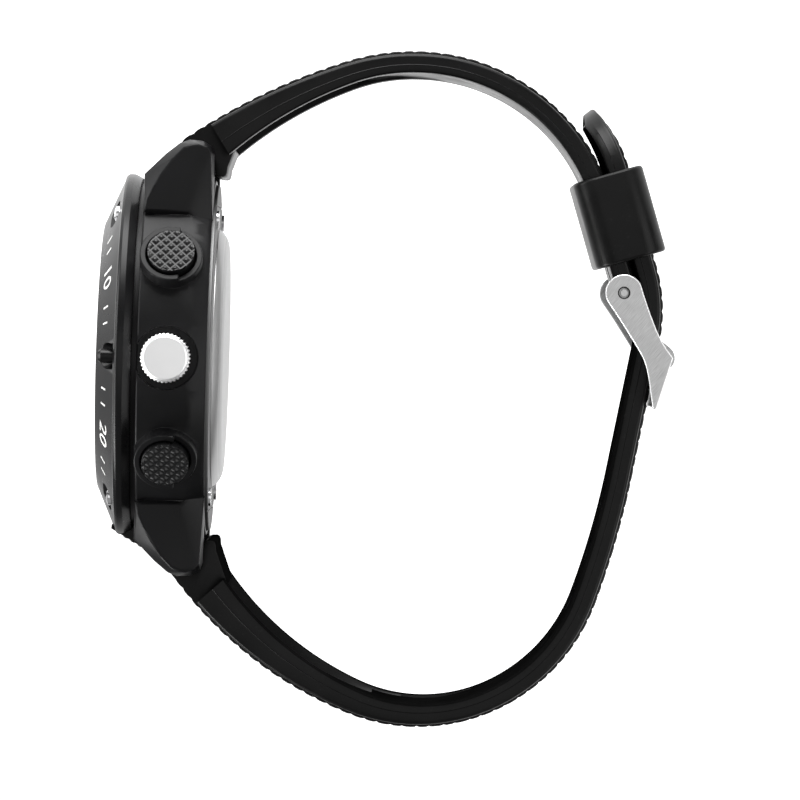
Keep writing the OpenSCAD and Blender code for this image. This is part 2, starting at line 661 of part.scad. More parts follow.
// Cuts one hole through the tail
module tail_hole(s) {
    st = lower_at(s);
    translate([st[0], st[1], 0]) rotate([0, 0, st[2]]) rotate([-90, 0, 0]) rotate([0, 0, 90])
        translate([0, 0, -6]) slot(hole_w, hole_l, 10);
}

tongue_s = total(lower_run) - 8.5 - 12 - 8.6 + 0.2;

module strap_lower() color(rubber) difference() {
    last = lower_l;
    steps = [for (s = [shoulder_s:2:last - 2.4]) s];
    union() {
        intersection() {
            slab(60, concat([for (s = steps) lower_pt(s, relief)], [lower_pt(last - 1.2, relief + 0.3)],
                [lower_pt(last - 0.2, relief + 1.1)], [lower_pt(last - 1.4, strap_t - 0.1)],
                [for (i = [len(steps) - 1:-1:0]) lower_pt(steps[i], lower_t(steps[i]))]));
            taper(0);
        }
        intersection() {
            slab(60, concat([for (r = ribs(0.6, last - 5)) lower_pt(r[0], r[1])],
                [for (s = [last - 8:-2:shoulder_s + 1]) lower_pt(s, relief + 0.6)],
                [lower_pt(shoulder_s, 2.6)], [lower_pt(0.6, 1.6)]));
            taper(rail_w);
            translate([-50, -100, -lug_w / 2 + strap_gap]) cube([120, 200, lug_w - 2 * strap_gap]);
        }
        slab(lug_w - 2 * strap_gap, concat([lower_pt(0.3, relief)], [lower_pt(shoulder_s + 0.6, relief)],
            [lower_pt(shoulder_s + 0.6, lower_t(shoulder_s) - 0.2)], strap_root(-1)));
        nose();
    }
    bar_hole(-1);
    channel(-1);
    for (i = [1:hole_count]) tail_hole(tongue_s - i * hole_pitch);
    tongue_slot();
    tail_tip_cut();
}

// The ribbed nose that climbs from the tail strap to the bezel at 6 o'clock
nose_w = 9;
nose_notch = 0.35;
nose_tip = [-13.25, -20.6];
nose_top = [-12.6, -21.45];
nose_foot = [-6.8, -24.5];
nose_bumps = 6;
module nose() difference() {
    union() {
        slab(nose_w, [lower_pt(0.3, relief), nose_foot, nose_top, nose_tip, nose_tip + [0.2, 1.2],
            [-9, -20.6], [-6, -21.6], [-4.6, -24]]);
        for (i = [0:nose_bumps]) let (p = nose_foot + i / nose_bumps * (nose_top - nose_foot))
            translate([p[0], p[1], -nose_w / 2 + 0.6]) cylinder(r = 0.3, h = nose_w - 1.2);
    }
    head() {
        translate([0, 0, band_top - 20]) cylinder(r = case_r + 0.2, h = 20.2);
        difference() {
            revolve([[0, 9], [bezel_r + 0.2, 9], [bezel_r + 0.2, slope_foot + 0.1],
                [rim_d / 2, bezel_top + 0.3], [0, bezel_top + 0.3]]);
            translate([-10, -bezel_r - 9.8 + nose_notch, 0]) cube([20, 9.6, 20]);
        }
    }
}

// Rounds the tail's tip off in its width
module tail_tip_cut() {
    st = lower_at(lower_l);
    w = half_w(st[0]);
    translate([st[0], st[1], 0]) rotate([0, 0, st[2]]) rotate([90, 0, 0]) difference() {
        translate([-w, -15, -10]) cube([2 * w + 5, 30, 20]);
        translate([-w, 0, -11]) cylinder(r = w, h = 22);
        translate([-w - 20, -15, -11]) cube([20, 30, 22]);
    }
}

// The keeper
keeper_dir = [cos(pivot_heading), sin(pivot_heading)];
keeper_out = [-sin(pivot_heading), cos(pivot_heading)];
tail_over = 2.80;
keeper_in_t = strap_t + tail_over + 2 * keeper_gap;
keeper_in_w = 2 * half_w(pivot[0] - 4) + 2 * keeper_gap;
module keeper() color(rubber) {
    rise = pivot_depth + tail_over - keeper_in_t / 2 + keeper_gap;
    c = pivot - keeper_at * keeper_dir + rise * keeper_out;
    translate([c[0], c[1], 0]) rotate([0, 0, pivot_heading]) rotate([0, 90, 0]) difference() {
        rounded_bar(keeper_in_w + 2 * keeper_t, keeper_in_t + 2 * keeper_t, 1.0, keeper_l);
        rounded_bar(keeper_in_w, keeper_in_t, 0.4, keeper_l + 2);
    }
}

// A bar of rounded rectangular section, centred
module rounded_bar(w, t, r, l) {
    for (a = [-1, 1], b = [-1, 1]) translate([a * (w / 2 - r), b * (t / 2 - r), 0])
        cylinder(r = r, h = l, center = true);
    cube([w, t - 2 * r, l], center = true);
    cube([w - 2 * r, t, l], center = true);
}

// The buckle; its outlines are taken from the pivot
function from_pivot(points) = [for (p = points) pivot + p];
arm_in = strap_end_w / 2 + arm_gap;
arm_outline = [[1.4, 1.55], [2.15, 0.4], [3.1, -2.4], [4.4, -5.4], [5.9, -7.4], [4.15, -13.3],
    [3.75, -13.5], [3.5, -12.2], [3.05, -9.3], [2.5, -7.55], [1.4, -5.8], [-0.6, -2.8], [-1.8, -1.1]];
end_plate = [[5.7, -7.1], [5.95, -7.5], [4.2, -13.3], [3.8, -13.5], [3.55, -13.2], [4.75, -7.7]];
module buckle_frame() color(steel) difference() {
    union() {
        for (s = [-1, 1]) translate([0, 0, s * (arm_in + arm_t / 2)]) {
            slab(arm_t, from_pivot(arm_outline));
            translate([pivot[0], pivot[1], 0]) cylinder(r = arm_head_r, h = arm_t, center = true);
        }
        slab(2 * arm_in + e, from_pivot(end_plate));
    }
    translate([pivot[0], pivot[1], -20]) cylinder(d = arm_hole_d, h = 40);
}

module buckle_tongue() color(steel) difference() {
    union() {
        slab(tongue_w, from_pivot([[-1, 0], [0.9, -3.1], [3.2, -5.9], [5.1, -7.02], [5.4, -7.03], [6, -7.25],
            [5.75, -8.4], [6.15, -8.65], [6.65, -7.7], [6.4, -6.6], [5.5, -5.85], [4, -4.8],
            [2.2, -2.4], [1.2, 0.2]]));
        translate([pivot[0], pivot[1], 0]) cylinder(r = 1.35, h = tongue_w, center = true);
    }
    translate([pivot[0], pivot[1], -20]) cylinder(d = bar_d + 0.12, h = 40);
}

module tongue_slot() {
    w = tongue_w + 0.8;
    slab(w, from_pivot([[-1.3, 0.6], [0.2, -3.6], [2.4, -6.8], [5.4, -8.2], [7.4, -6.8], [6.4, -4.4],
        [4.8, -2.8], [3.4, 0.6], [2, 2.4], [-0.2, 2.4]]));
}

// Pushers
module pusher_button(angle) color(resin) head() radial(angle, pusher_z) difference() {
    r = pusher_d / 2;
    l = pusher_face - pusher_floor - pusher_travel - 0.5;
    translate([0, 0, pusher_face - l]) union() {
        cylinder(r = r, h = l - 0.15);
        cylinder(r = r - 0.2, h = l);
    }
    for (a = [45, -45], k = [-3:3]) rotate([0, 0, a]) translate([k * knurl_pitch, r, pusher_face])
        rotate([90, 0, 0]) linear_extrude(2 * r)
            polygon([[-0.08, -0.22], [0.08, -0.22], [0.3, e], [-0.3, e]]);
    translate([0, 0, pusher_face - 4.8]) cylinder(d = 1.4 + 2 * fit, h = 3);
    translate([0, 0, pusher_face - 4.8]) difference() {
        cylinder(d = 4.2, h = 2.9);
        cylinder(d = 2.4, h = 2.9);
    }
}

module pusher_stem(angle) color(steel) head() radial(angle, pusher_z) {
    groove = cavity_r - 0.35;
    translate([0, 0, groove]) cylinder(d = 1.4, h = pusher_face - 2.4 - groove);
    translate([0, 0, groove - 0.25]) cylinder(d = 1.0, h = 0.3);
    translate([0, 0, groove - 0.55]) cylinder(d = 1.4, h = 0.35);
}

module pusher_spring(angle) color(bright) head() radial(angle, pusher_z)
    for (i = [0:3]) translate([0, 0, pusher_floor + 0.02 + i * 0.36]) rotate_extrude() translate([1.65, 0.17])
        circle(r = 0.17, $fn = 16);

module start_button() pusher_button(pusher_angle);
module reset_button() pusher_button(-pusher_angle);
module start_stem() pusher_stem(pusher_angle);
module reset_stem() pusher_stem(-pusher_angle);
module start_spring() pusher_spring(pusher_angle);
module reset_spring() pusher_spring(-pusher_angle);

module pusher_gaskets() color(rubber) head() for (s = [-1, 1])
    radial(s * pusher_angle, pusher_z) ring(0.75, 1.2, seal_seat + 0.05, seal_seat + 0.75);

// Crown and stem
module crown() color(bright) head() radial(0, crown_z) translate([0, 0, crown_face - crown_l]) {
    r = crown_d / 2;
    difference() {
        union() {
            translate([0, 0, 0.15]) linear_extrude(crown_l - 0.5) polygon([for (i = [0:2 * crown_teeth - 1])
                (r - (i % 2) * 0.24) * [cos(i * 180 / crown_teeth), sin(i * 180 / crown_teeth)]]);
            cylinder(r = r - 0.3, h = crown_l - 0.1);
            translate([0, 0, crown_l - 0.35]) cylinder(r1 = r - 0.1, r2 = r - 0.5, h = 0.35);
        }
        translate([0, 0, -1]) cylinder(d = 1.3, h = 3);
    }
}

module crown_stem() color(steel) head() radial(0, crown_z) difference() {
    translate([0, 0, stem_end]) cylinder(d = 1.2, h = crown_face - crown_l + 1.9 - stem_end);
    translate([0, 0, stem_end + 1.9]) difference() {
        cylinder(d = 3, h = 0.5);
        translate([0, 0, -1]) cylinder(d = 0.8, h = 3);
    }
}

module crown_gasket() color(rubber) head() radial(0, crown_z)
    ring(0.63, 1.12, seal_seat + 0.1, seal_seat + 1);

module setting_clip() color(bright) head() radial(0, crown_z)
    translate([0, 0, stem_end + 1.98]) difference() {
    translate([-0.95, -0.95, 0]) cube([1.9, 1.9, 0.34]);
    translate([0, 0, -1]) cylinder(d = 0.9, h = 3);
    translate([-2, -0.45, -1]) cube([2, 0.9, 3]);
}

// A gear blank with straight-sided teeth; half is 1 where a gap faces the x axis
tooth = [[-0.31, -1.1], [-0.14, 0.85], [0.14, 0.85], [0.31, -1.1]];
module gear(n, half, bore_r, h) {
    r = gear_m * n / 2;
    p = 360 / n;
    difference() {
        linear_extrude(h) polygon([for (i = [0:n - 1], k = tooth)
            (r + k[1] * gear_m) * [cos((i + half / 2 + k[0]) * p), sin((i + half / 2 + k[0]) * p)]]);
        translate([0, 0, -1]) cylinder(r = bore_r, h = h + 2);
    }
}

arbor_r = 0.36;
cannon_in = arbor_r + arbor_play;
cannon_out = cannon_in + 0.2;
pipe_in = cannon_out + arbor_play;
pipe_out = pipe_in + 0.22;
hour_z = dial_z + 0.35;
minute_z = hour_z + 0.5;
second_z = minute_z + 0.5;
hand_t = 0.2;

module cannon_pinion() color(brass) head() {
    translate([0, 0, wheel_z]) gear(cannon_n, 0, cannon_in, wheel_t);
    ring(cannon_in, cannon_out - 0.12, wheel_z, wheel_z + 0.5);
    ring(cannon_in, cannon_out, wheel_z + wheel_t, minute_z + hand_t);
}

module minute_wheel() color(brass) head() translate([-gear_gap, 0, 0]) {
    translate([0, 0, wheel_z]) gear(minute_n, 1, 0.25 + arbor_play, wheel_t);
    translate([0, 0, wheel_z + wheel_t - e]) gear(pinion_n, 1, 0.25 + arbor_play, 0.55);
}

module hour_wheel() color(brass) head() {
    translate([0, 0, wheel_z + 0.55]) gear(hour_n, 0, pipe_in, 0.27);
    ring(pipe_in, pipe_out, wheel_z + 0.55, hour_z + hand_t);
}

// A hand with a boss, a tapering blade and a tail, pointing along x
module hand(l, w, tail, bore_r, boss_r) {
    difference() {
        union() {
            cylinder(r = boss_r, h = hand_t);
            linear_extrude(hand_t) polygon([[-tail, -w * 0.3], [0, -w * 0.3], [l * 0.3, -w / 2],
                [l * 0.85, -w / 2], [l, 0], [l * 0.85, w / 2], [l * 0.3, w / 2], [0, w * 0.3],
                [-tail, w * 0.3]]);
        }
        translate([0, 0, -1]) cylinder(r = bore_r, h = 3);
    }
}

module hour_hand() color(bright) head() translate([0, 0, hour_z]) rotate([0, 0, hour_angle])
    hand(hour_len, 1.3, 1.6, pipe_out + 0.01, 1.5);

module minute_hand() color(bright) head() translate([0, 0, minute_z]) rotate([0, 0, minute_angle])
    hand(minute_len, 1.1, 1.8, cannon_out + 0.01, 1.2);

module seconds_arbor() color(steel) head() translate([0, 0, plate_z + 0.1])
    cylinder(r = arbor_r, h = second_z + hand_t - plate_z - 0.1);

module seconds_hand() color("#c23a2a") head() translate([0, 0, second_z]) rotate([0, 0, 90])
    hand(second_len, 0.35, 3.2, arbor_r + 0.01, 0.8);

module counter_pointer(p, angle) {
    translate([p[0], p[1], 0]) {
        translate([0, 0, dial_z + 0.05]) rotate([0, 0, angle]) hand(2.9, 0.4, 0.8, 0.2, 0.5);
        translate([0, 0, plate_z + 0.9]) cylinder(r = 0.25, h = dial_z + 0.25 - plate_z - 0.9);
        translate([0, 0, wheel_z]) gear(counter_n, 0, 0.24, wheel_t);
    }
}

module small_seconds_hand() color(bright) head() counter_pointer(counter_place[0], 60);
module counter_hand() color(bright) head() counter_pointer(counter_place[1], 90);

case_middle();
bezel();
bezel_screws();
bezel_studs();
crystal();
crystal_gasket();
chapter_ring();
dial();
hour_markers();
movement_holder();
main_plate();
circuit_board();
train_bridge();
movement_screws();
battery();
battery_clip();
motor_coil();
motor_stator();
caseback();
caseback_gasket();
caseback_screws();
lug_spring_bars();
strap_upper();
strap_lower();
keeper();
buckle_frame();
buckle_tongue();
buckle_spring_bar();
start_button();
start_stem();
start_spring();
reset_button();
reset_stem();
reset_spring();
pusher_gaskets();
crown();
crown_stem();
crown_gasket();
setting_clip();
hour_wheel();
hour_hand();
cannon_pinion();
minute_hand();
minute_wheel();
seconds_arbor();
seconds_hand();
small_seconds_hand();
counter_hand();
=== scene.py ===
"""Looks of an analog sports wristwatch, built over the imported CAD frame.

Meshes are in metres in the frame of the part: -X out of the dial, +X into the
wrist loop, +Y to 12 o'clock and +Z to the crown, which is up here. Sizes are
given in millimetres and angles in degrees unless a comment says otherwise.
"""

import json
import logging
import math
from dataclasses import dataclass, field
from enum import Enum
from functools import lru_cache, partial
from typing import Callable, ClassVar, Dict, List, Optional, Sequence, Tuple, Union

import bmesh
import bpy
from mathutils import Matrix, Vector

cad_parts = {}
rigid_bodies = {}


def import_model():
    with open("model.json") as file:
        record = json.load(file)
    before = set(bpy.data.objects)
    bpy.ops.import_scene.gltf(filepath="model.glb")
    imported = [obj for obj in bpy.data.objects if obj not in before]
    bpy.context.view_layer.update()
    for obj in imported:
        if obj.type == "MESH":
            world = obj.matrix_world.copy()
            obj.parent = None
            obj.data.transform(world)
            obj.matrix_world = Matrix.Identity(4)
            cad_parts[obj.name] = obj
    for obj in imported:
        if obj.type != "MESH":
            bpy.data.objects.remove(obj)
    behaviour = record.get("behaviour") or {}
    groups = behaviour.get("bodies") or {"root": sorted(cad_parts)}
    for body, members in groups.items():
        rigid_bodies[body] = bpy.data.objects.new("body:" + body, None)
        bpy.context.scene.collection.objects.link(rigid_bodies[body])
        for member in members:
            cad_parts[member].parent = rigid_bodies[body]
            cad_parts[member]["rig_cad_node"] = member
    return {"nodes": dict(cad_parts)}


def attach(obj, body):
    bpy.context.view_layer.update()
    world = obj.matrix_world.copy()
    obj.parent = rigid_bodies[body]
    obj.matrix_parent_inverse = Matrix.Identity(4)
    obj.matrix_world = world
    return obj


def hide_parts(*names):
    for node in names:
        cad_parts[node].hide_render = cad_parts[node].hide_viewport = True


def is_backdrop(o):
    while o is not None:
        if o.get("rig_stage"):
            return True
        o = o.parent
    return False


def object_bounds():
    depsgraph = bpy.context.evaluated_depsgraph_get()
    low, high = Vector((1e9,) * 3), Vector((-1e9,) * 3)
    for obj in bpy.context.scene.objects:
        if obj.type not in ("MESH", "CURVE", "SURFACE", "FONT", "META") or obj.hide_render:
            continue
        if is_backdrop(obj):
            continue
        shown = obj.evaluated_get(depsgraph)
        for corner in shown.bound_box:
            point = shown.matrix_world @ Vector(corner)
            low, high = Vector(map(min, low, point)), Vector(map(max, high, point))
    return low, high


log = logging.getLogger("watch")
MM = 0.001
Point = Tuple[float, float]
Triple = Tuple[float, float, float]
Bending = Callable[[Vector], Vector]
Given = Union[bpy.types.NodeSocket, float, Sequence[float]]

# Places in X and Y that several pieces share

PIVOT = (46.141, 9.018)
LOOP_MIDDLE = (21.0, -3.0)

# Points nearer than this become one: in metres, but for the text's in millimetres

TOUCHING = 1e-7
SOLID_MERGE = 1e-6
CAD_MERGE = 3e-6
TEXT_MERGE = 1e-4

# Scales per metre, and other values that the finishes share

EVEN = (1.0, 1.0, 1.0)
FINE_DETAIL = 3.0
FINE_SPAN = (0.38, 0.62)
CLOUD_SCALE = 160.0
CLOUD_DETAIL = 4.0
CLOUD_SPAN = (0.42, 0.68)
GLOSS_SPAN = (0.3, 0.7)
DUST_SCALE = 2600.0
DUST_LIMIT = 0.74
DUST_GAIN = 0.1
DUST_EDGE = 0.02
SMEAR_SCALE = 220.0
SCRATCH_SLANT = math.radians(-38)
BUMP_STRENGTH = 0.6
COAT_ROUGHNESS = 0.12


# Shading


class Pattern(Enum):
    """Surface pattern of a finish."""

    GRAIN = "grain"
    BRUSHED_ROUND = "brushed round the dial axis"
    BRUSHED_LONG = "brushed in straight lines"
    SCRATCHED = "brushed on a slant, with fine scratches"


STRETCH = {Pattern.BRUSHED_LONG: (1, 0.06, 1), Pattern.SCRATCHED: (1, 0.03, 1)}


def fill_inputs(node: bpy.types.Node, given: Dict[Union[str, int], Given]) -> None:
    """Sets inputs of a node to values, or links them to sockets.

    Args:
        node: The node.
        given: Value or socket for each input, by name or number.
    """
    for key, value in given.items():
        if isinstance(value, bpy.types.NodeSocket):
            node.id_data.links.new(value, node.inputs[key])
        else:
            node.inputs[key].default_value = value


def add_node(
    net: bpy.types.NodeTree, kind: str, given: Dict[Union[str, int], Given], **options: str
) -> bpy.types.Node:
    """Adds a shader node.

    Args:
        net: The node tree.
        kind: Kind of node, without the word ShaderNode.
        given: Value or socket for each input, by name or number.
        options: The node's own settings.

    Returns:
        The node.
    """
    node = net.nodes.new("ShaderNode" + kind)
    for key, value in options.items():
        setattr(node, key, value)
    fill_inputs(node, given)
    return node


def object_place(net: bpy.types.NodeTree) -> bpy.types.NodeSocket:
    """Adds the object's own coordinates and returns them."""
    return add_node(net, "TexCoord", {}).outputs["Object"]


def mapped(
    net: bpy.types.NodeTree, value: bpy.types.NodeSocket, given: Point, wanted: Point = (0.0, 1.0)
) -> bpy.types.NodeSocket:
    """Maps one range of a value to another.

    Args:
        net: The node tree.
        value: The value.
        given: Lowest and highest value that count.
        wanted: What they become.

    Returns:
        The new value.
    """
    limits = {"From Min": given[0], "From Max": given[1], "To Min": wanted[0], "To Max": wanted[1]}
    return add_node(net, "MapRange", {"Value": value, **limits}).outputs["Result"]


def noise(
    net: bpy.types.NodeTree,
    place: bpy.types.NodeSocket,
    scale: float,
    detail: float,
    stretch: Triple = EVEN,
    turn: float = 0.0,
) -> bpy.types.NodeSocket:
    """Adds a noise over a piece.

    Args:
        net: The node tree.
        place: The coordinates.
        scale: Scale of the noise per metre.
        detail: Its detail.
        stretch: Scale along X, Y and Z on top of that.
        turn: Turn round Z in radians.

    Returns:
        The noise's value.
    """
    spread = {"Scale": [1 / s for s in stretch], "Rotation": (0, 0, turn), "Vector": place}
    bent = add_node(net, "Mapping", spread, vector_type="TEXTURE").outputs["Vector"]
    return add_node(net, "TexNoise", {"Scale": scale, "Detail": detail, "Vector": bent}).outputs["Fac"]


def rings(net: bpy.types.NodeTree, place: bpy.types.NodeSocket, scale: float) -> bpy.types.NodeSocket:
    """Adds fine lines turned round the dial's axis.

    Args:
        net: The node tree.
        place: The coordinates.
        scale: Scale of the lines per metre.

    Returns:
        The lines' value.
    """
    flat = add_node(net, "Mapping", {"Scale": (0, 1, 1), "Vector": place})
    away = add_node(net, "VectorMath", {0: flat.outputs["Vector"]}, operation="LENGTH")
    parts = add_node(net, "SeparateXYZ", {"Vector": place})
    both = add_node(net, "Math", {0: away.outputs["Value"], 1: parts.outputs["X"]}, operation="ADD")
    sizes = {"Scale": scale, "Detail": FINE_DETAIL, "W": both.outputs["Value"]}
    return add_node(net, "TexNoise", sizes, noise_dimensions="1D").outputs["Fac"]


@dataclass(frozen=True)
class Coating:
    """A material of the part.

    Args:
        name: Name of the material.
        slot: The record's material slot, or nothing for the stage; not used.
    """

    name: str
    slot: str

    def draw(self, net: bpy.types.NodeTree) -> None:
        """Draws the material's nodes."""
        raise NotImplementedError

    @lru_cache(maxsize=None)
    def material(self) -> bpy.types.Material:
        """Builds the node material, once.

        Returns:
            The material.
        """
        mat = bpy.data.materials.new(self.name)
        mat.use_nodes = True
        self.draw(mat.node_tree)
        return mat

    def give(self, piece: bpy.types.Object) -> bpy.types.Object:
        """Gives the finish to every material slot of a piece.

        Args:
            piece: A new piece or a CAD node.

        Returns:
            The piece.
        """
        mat = self.material()
        if not piece.data.materials:
            piece.data.materials.append(mat)
        for i in range(len(piece.material_slots)):
            piece.material_slots[i].material = mat
        return piece


@dataclass(frozen=True)
class Finish(Coating):
    """A procedural finish.

    Args:
        colour: Base colour, linear RGB.
        worn: Colour of rubbed or dusty places.
        roughness: Lowest and highest roughness.
        metallic: Metallic value.
        pattern: Surface pattern.
        grain: Size of the finest grain in metres.
        depth: Depth of the grain's bump in metres.
        coat: Weight of a clear coat.
        anisotropic: Strength of the brushed highlight.
        specular: Specular level.
        specks: Share of the surface under fine dust, from 0 to 1.
    """

    colour: Triple
    worn: Triple
    roughness: Point
    metallic: float = 0.0
    pattern: Pattern = Pattern.GRAIN
    grain: float = 0.00012
    depth: float = 0.000004
    coat: float = 0.0
    anisotropic: float = 0.0
    specular: float = 0.5
    specks: float = 0.0

    def draw(self, net: bpy.types.NodeTree) -> None:
        """Draws the grain, the broad unevenness, the dust and the bump.

        Args:
            net: The node tree.
        """
        place = object_place(net)
        if self.pattern is Pattern.BRUSHED_ROUND:
            fine = rings(net, place, 1 / self.grain)
        else:
            turn = SCRATCH_SLANT if self.pattern is Pattern.SCRATCHED else 0.0
            stretch = STRETCH.get(self.pattern, EVEN)
            fine = noise(net, place, 1 / self.grain, FINE_DETAIL, stretch, turn)
        broad = noise(net, place, CLOUD_SCALE, CLOUD_DETAIL)
        if self.pattern in (Pattern.SCRATCHED, Pattern.BRUSHED_ROUND):
            tint = mapped(net, fine, FINE_SPAN)
        else:
            tint = mapped(net, broad, CLOUD_SPAN)
        if self.specks > 0:
            tint = self.dusted(net, place, tint)
        colours = {"Factor": tint, "A": (*self.colour, 1), "B": (*self.worn, 1)}
        uneven = fine if self.metallic > 0.5 else broad
        relief = {"Strength": BUMP_STRENGTH, "Distance": self.depth, "Height": fine}
        fill_inputs(net.nodes["Principled BSDF"], {
            "Metallic": self.metallic,
            "Coat Weight": self.coat,
            "Coat Roughness": COAT_ROUGHNESS,
            "Anisotropic": self.anisotropic,
            "Specular IOR Level": self.specular,
            "Base Color": add_node(net, "Mix", colours, data_type="RGBA").outputs["Result"],
            "Roughness": mapped(net, uneven, GLOSS_SPAN, self.roughness),
            "Normal": add_node(net, "Bump", relief).outputs["Normal"],
        })

    def dusted(
        self, net: bpy.types.NodeTree, place: bpy.types.NodeSocket, tint: bpy.types.NodeSocket
    ) -> bpy.types.NodeSocket:
        """Lays fine specks over the worn places.

        Args:
            net: The node tree.
            place: The coordinates.
            tint: Share of worn colour without the specks.

        Returns:
            The share with them.
        """
        edge = DUST_LIMIT - DUST_GAIN * self.specks
        grit = mapped(net, noise(net, place, DUST_SCALE, 1.0), (edge, edge + DUST_EDGE))
        soft = add_node(net, "Math", {0: tint, 1: 0.5}, operation="MULTIPLY").outputs[0]
        return add_node(net, "Math", {0: soft, 1: grit}, operation="MAXIMUM").outputs[0]


@dataclass(frozen=True)
class Glass(Coating):
    """The crystal's mineral glass, with faint smears in its gloss.

    Args:
        colour: Colour of the glass, linear RGB.
        ior: Index of refraction.
        roughness: Lowest and highest roughness.
    """

    colour: Triple = (0.97, 0.99, 0.99)
    ior: float = 1.5
    roughness: Point = (0.0, 0.012)

    def draw(self, net: bpy.types.NodeTree) -> None:
        """Draws the clear glass and its smears.

        Args:
            net: The node tree.
        """
        smear = noise(net, object_place(net), SMEAR_SCALE, FINE_DETAIL)
        fill_inputs(net.nodes["Principled BSDF"], {
            "Base Color": (*self.colour, 1),
            "Transmission Weight": 1.0,
            "IOR": self.ior,
            "Roughness": mapped(net, smear, (0.0, 1.0), self.roughness),
        })


RESIN = Finish(
    "case_resin", "black_resin", (0.0042, 0.0042, 0.0045), (0.0065, 0.0065, 0.007),
    (0.32, 0.44), grain=0.00009, depth=0.000003, specular=0.17, specks=0.15,
)
BUTTON_RESIN = Finish(
    "button_resin", "black_resin", (0.0045, 0.0045, 0.0048), (0.007, 0.007, 0.0075),
    (0.26, 0.36), grain=0.00009, depth=0.000002, specular=0.34, specks=0.1,
)
GLOSS_RESIN = Finish(
    "bezel_resin", "black_resin", (0.0042, 0.0042, 0.0045), (0.006, 0.006, 0.0065),
    (0.24, 0.34), grain=0.00009, depth=0.000002, specular=0.2, specks=0.1,
)
RUBBER = Finish(
    "black_rubber", "strap_rubber", (0.003, 0.003, 0.003), (0.006, 0.006, 0.006),
    (0.28, 0.4), grain=0.00014, depth=0.000003, specular=0.16, specks=0.55,
)
INNER_RUBBER = Finish(
    "inner_rubber", "strap_rubber", (0.003, 0.003, 0.003), (0.006, 0.006, 0.006),
    (0.6, 0.7), grain=0.00014, depth=0.000001, specular=0.0, specks=0.2,
)
GLOSS_RUBBER = Finish(
    "gloss_rubber", "strap_rubber", (0.003, 0.003, 0.003), (0.006, 0.006, 0.006),
    (0.24, 0.36), grain=0.00014, depth=0.000001, specular=0.06, specks=0.2,
)
SEAL = Finish(
    "gasket_rubber", "seal_rubber", (0.02, 0.02, 0.02), (0.03, 0.03, 0.03), (0.45, 0.6)
)
POLISHED = Finish(
    "mirror_steel", "polished_steel", (0.86, 0.86, 0.87), (0.78, 0.78, 0.79),
    (0.10, 0.2), metallic=1.0, depth=0.0000006,
)
CROWN_STEEL = Finish(
    "crown_steel", "polished_steel", (0.93, 0.93, 0.93), (0.88, 0.88, 0.88),
    (0.38, 0.46), metallic=1.0, depth=0.000001,
)
BRUSHED = Finish(
    "satin_steel", "brushed_steel", (0.62, 0.62, 0.62), (0.52, 0.52, 0.52),
    (0.24, 0.42), metallic=1.0, pattern=Pattern.BRUSHED_LONG, grain=0.00006,
    depth=0.000004, anisotropic=0.4,
)
BACK_STEEL = Finish(
    "caseback_steel", "brushed_steel", (0.54, 0.54, 0.54), (0.45, 0.45, 0.45),
    (0.42, 0.54), metallic=1.0, pattern=Pattern.BRUSHED_ROUND, grain=0.00007,
    depth=0.0000015, anisotropic=0.3,
)
# Painted shade: a darker, rougher copy of the caseback's steel for its flange.
SHADED_FLANGE_STEEL = Finish(
    "shaded_flange_steel", "brushed_steel", (0.2, 0.2, 0.2), (0.16, 0.16, 0.16),
    (0.55, 0.65), metallic=1.0, pattern=Pattern.BRUSHED_ROUND, grain=0.00007, depth=0.000001,
)
BUCKLE_STEEL = Finish(
    "buckle_steel", "brushed_steel", (0.62, 0.62, 0.62), (0.48, 0.48, 0.48),
    (0.3, 0.44), metallic=1.0, pattern=Pattern.SCRATCHED, grain=0.00005,
    depth=0.000002, anisotropic=0.3,
)
DIAL = Finish(
    "dial_lacquer", "dial_black", (0.008, 0.008, 0.009), (0.012, 0.012, 0.014), (0.46, 0.58),
    grain=0.0001, depth=0.0000002, specular=0.2,
)
PRINT = Finish(
    "white_print", "dial_black", (0.78, 0.78, 0.76), (0.7, 0.7, 0.68), (0.4, 0.5)
)
PLASTIC = Finish(
    "moulded_plastic", "movement_plastic", (0.24, 0.23, 0.21), (0.2, 0.19, 0.17), (0.4, 0.55)
)
BRASS = Finish(
    "turned_brass", "movement_brass", (0.72, 0.5, 0.2), (0.6, 0.42, 0.18),
    (0.2, 0.32), metallic=1.0,
)
BOARD = Finish(
    "board_lacquer", "circuit_green", (0.02, 0.10, 0.04), (0.03, 0.13, 0.05), (0.3, 0.4), coat=0.4
)
COPPER = Finish(
    "wound_copper", "copper_wire", (0.55, 0.2, 0.09), (0.4, 0.14, 0.06), (0.25, 0.4), metallic=1.0
)
RED = Finish(
    "red_lacquer", "hand_red", (0.55, 0.05, 0.03), (0.48, 0.05, 0.03), (0.3, 0.4), coat=0.3
)
CRYSTAL = Glass("crystal_glass", "mineral_glass")


# Meshes

HERE = Matrix.Identity(4)
HEAD = Matrix(((0, 0, -1, 0), (0, 1, 0, 0), (1, 0, 0, 0), (0, 0, 0, 1)))


def linked(bm: bmesh.types.BMesh, name: str) -> bpy.types.Object:
    """Turns a mesh into an object of the scene, with its faces pointing out.

    Args:
        bm: The mesh, which is freed.
        name: Name of the object.

    Returns:
        The object, at the origin.
    """
    bmesh.ops.recalc_face_normals(bm, faces=bm.faces)
    mesh = bpy.data.meshes.new(name)
    bm.to_mesh(mesh)
    bm.free()
    obj = bpy.data.objects.new(name, mesh)
    bpy.context.scene.collection.objects.link(obj)
    return obj


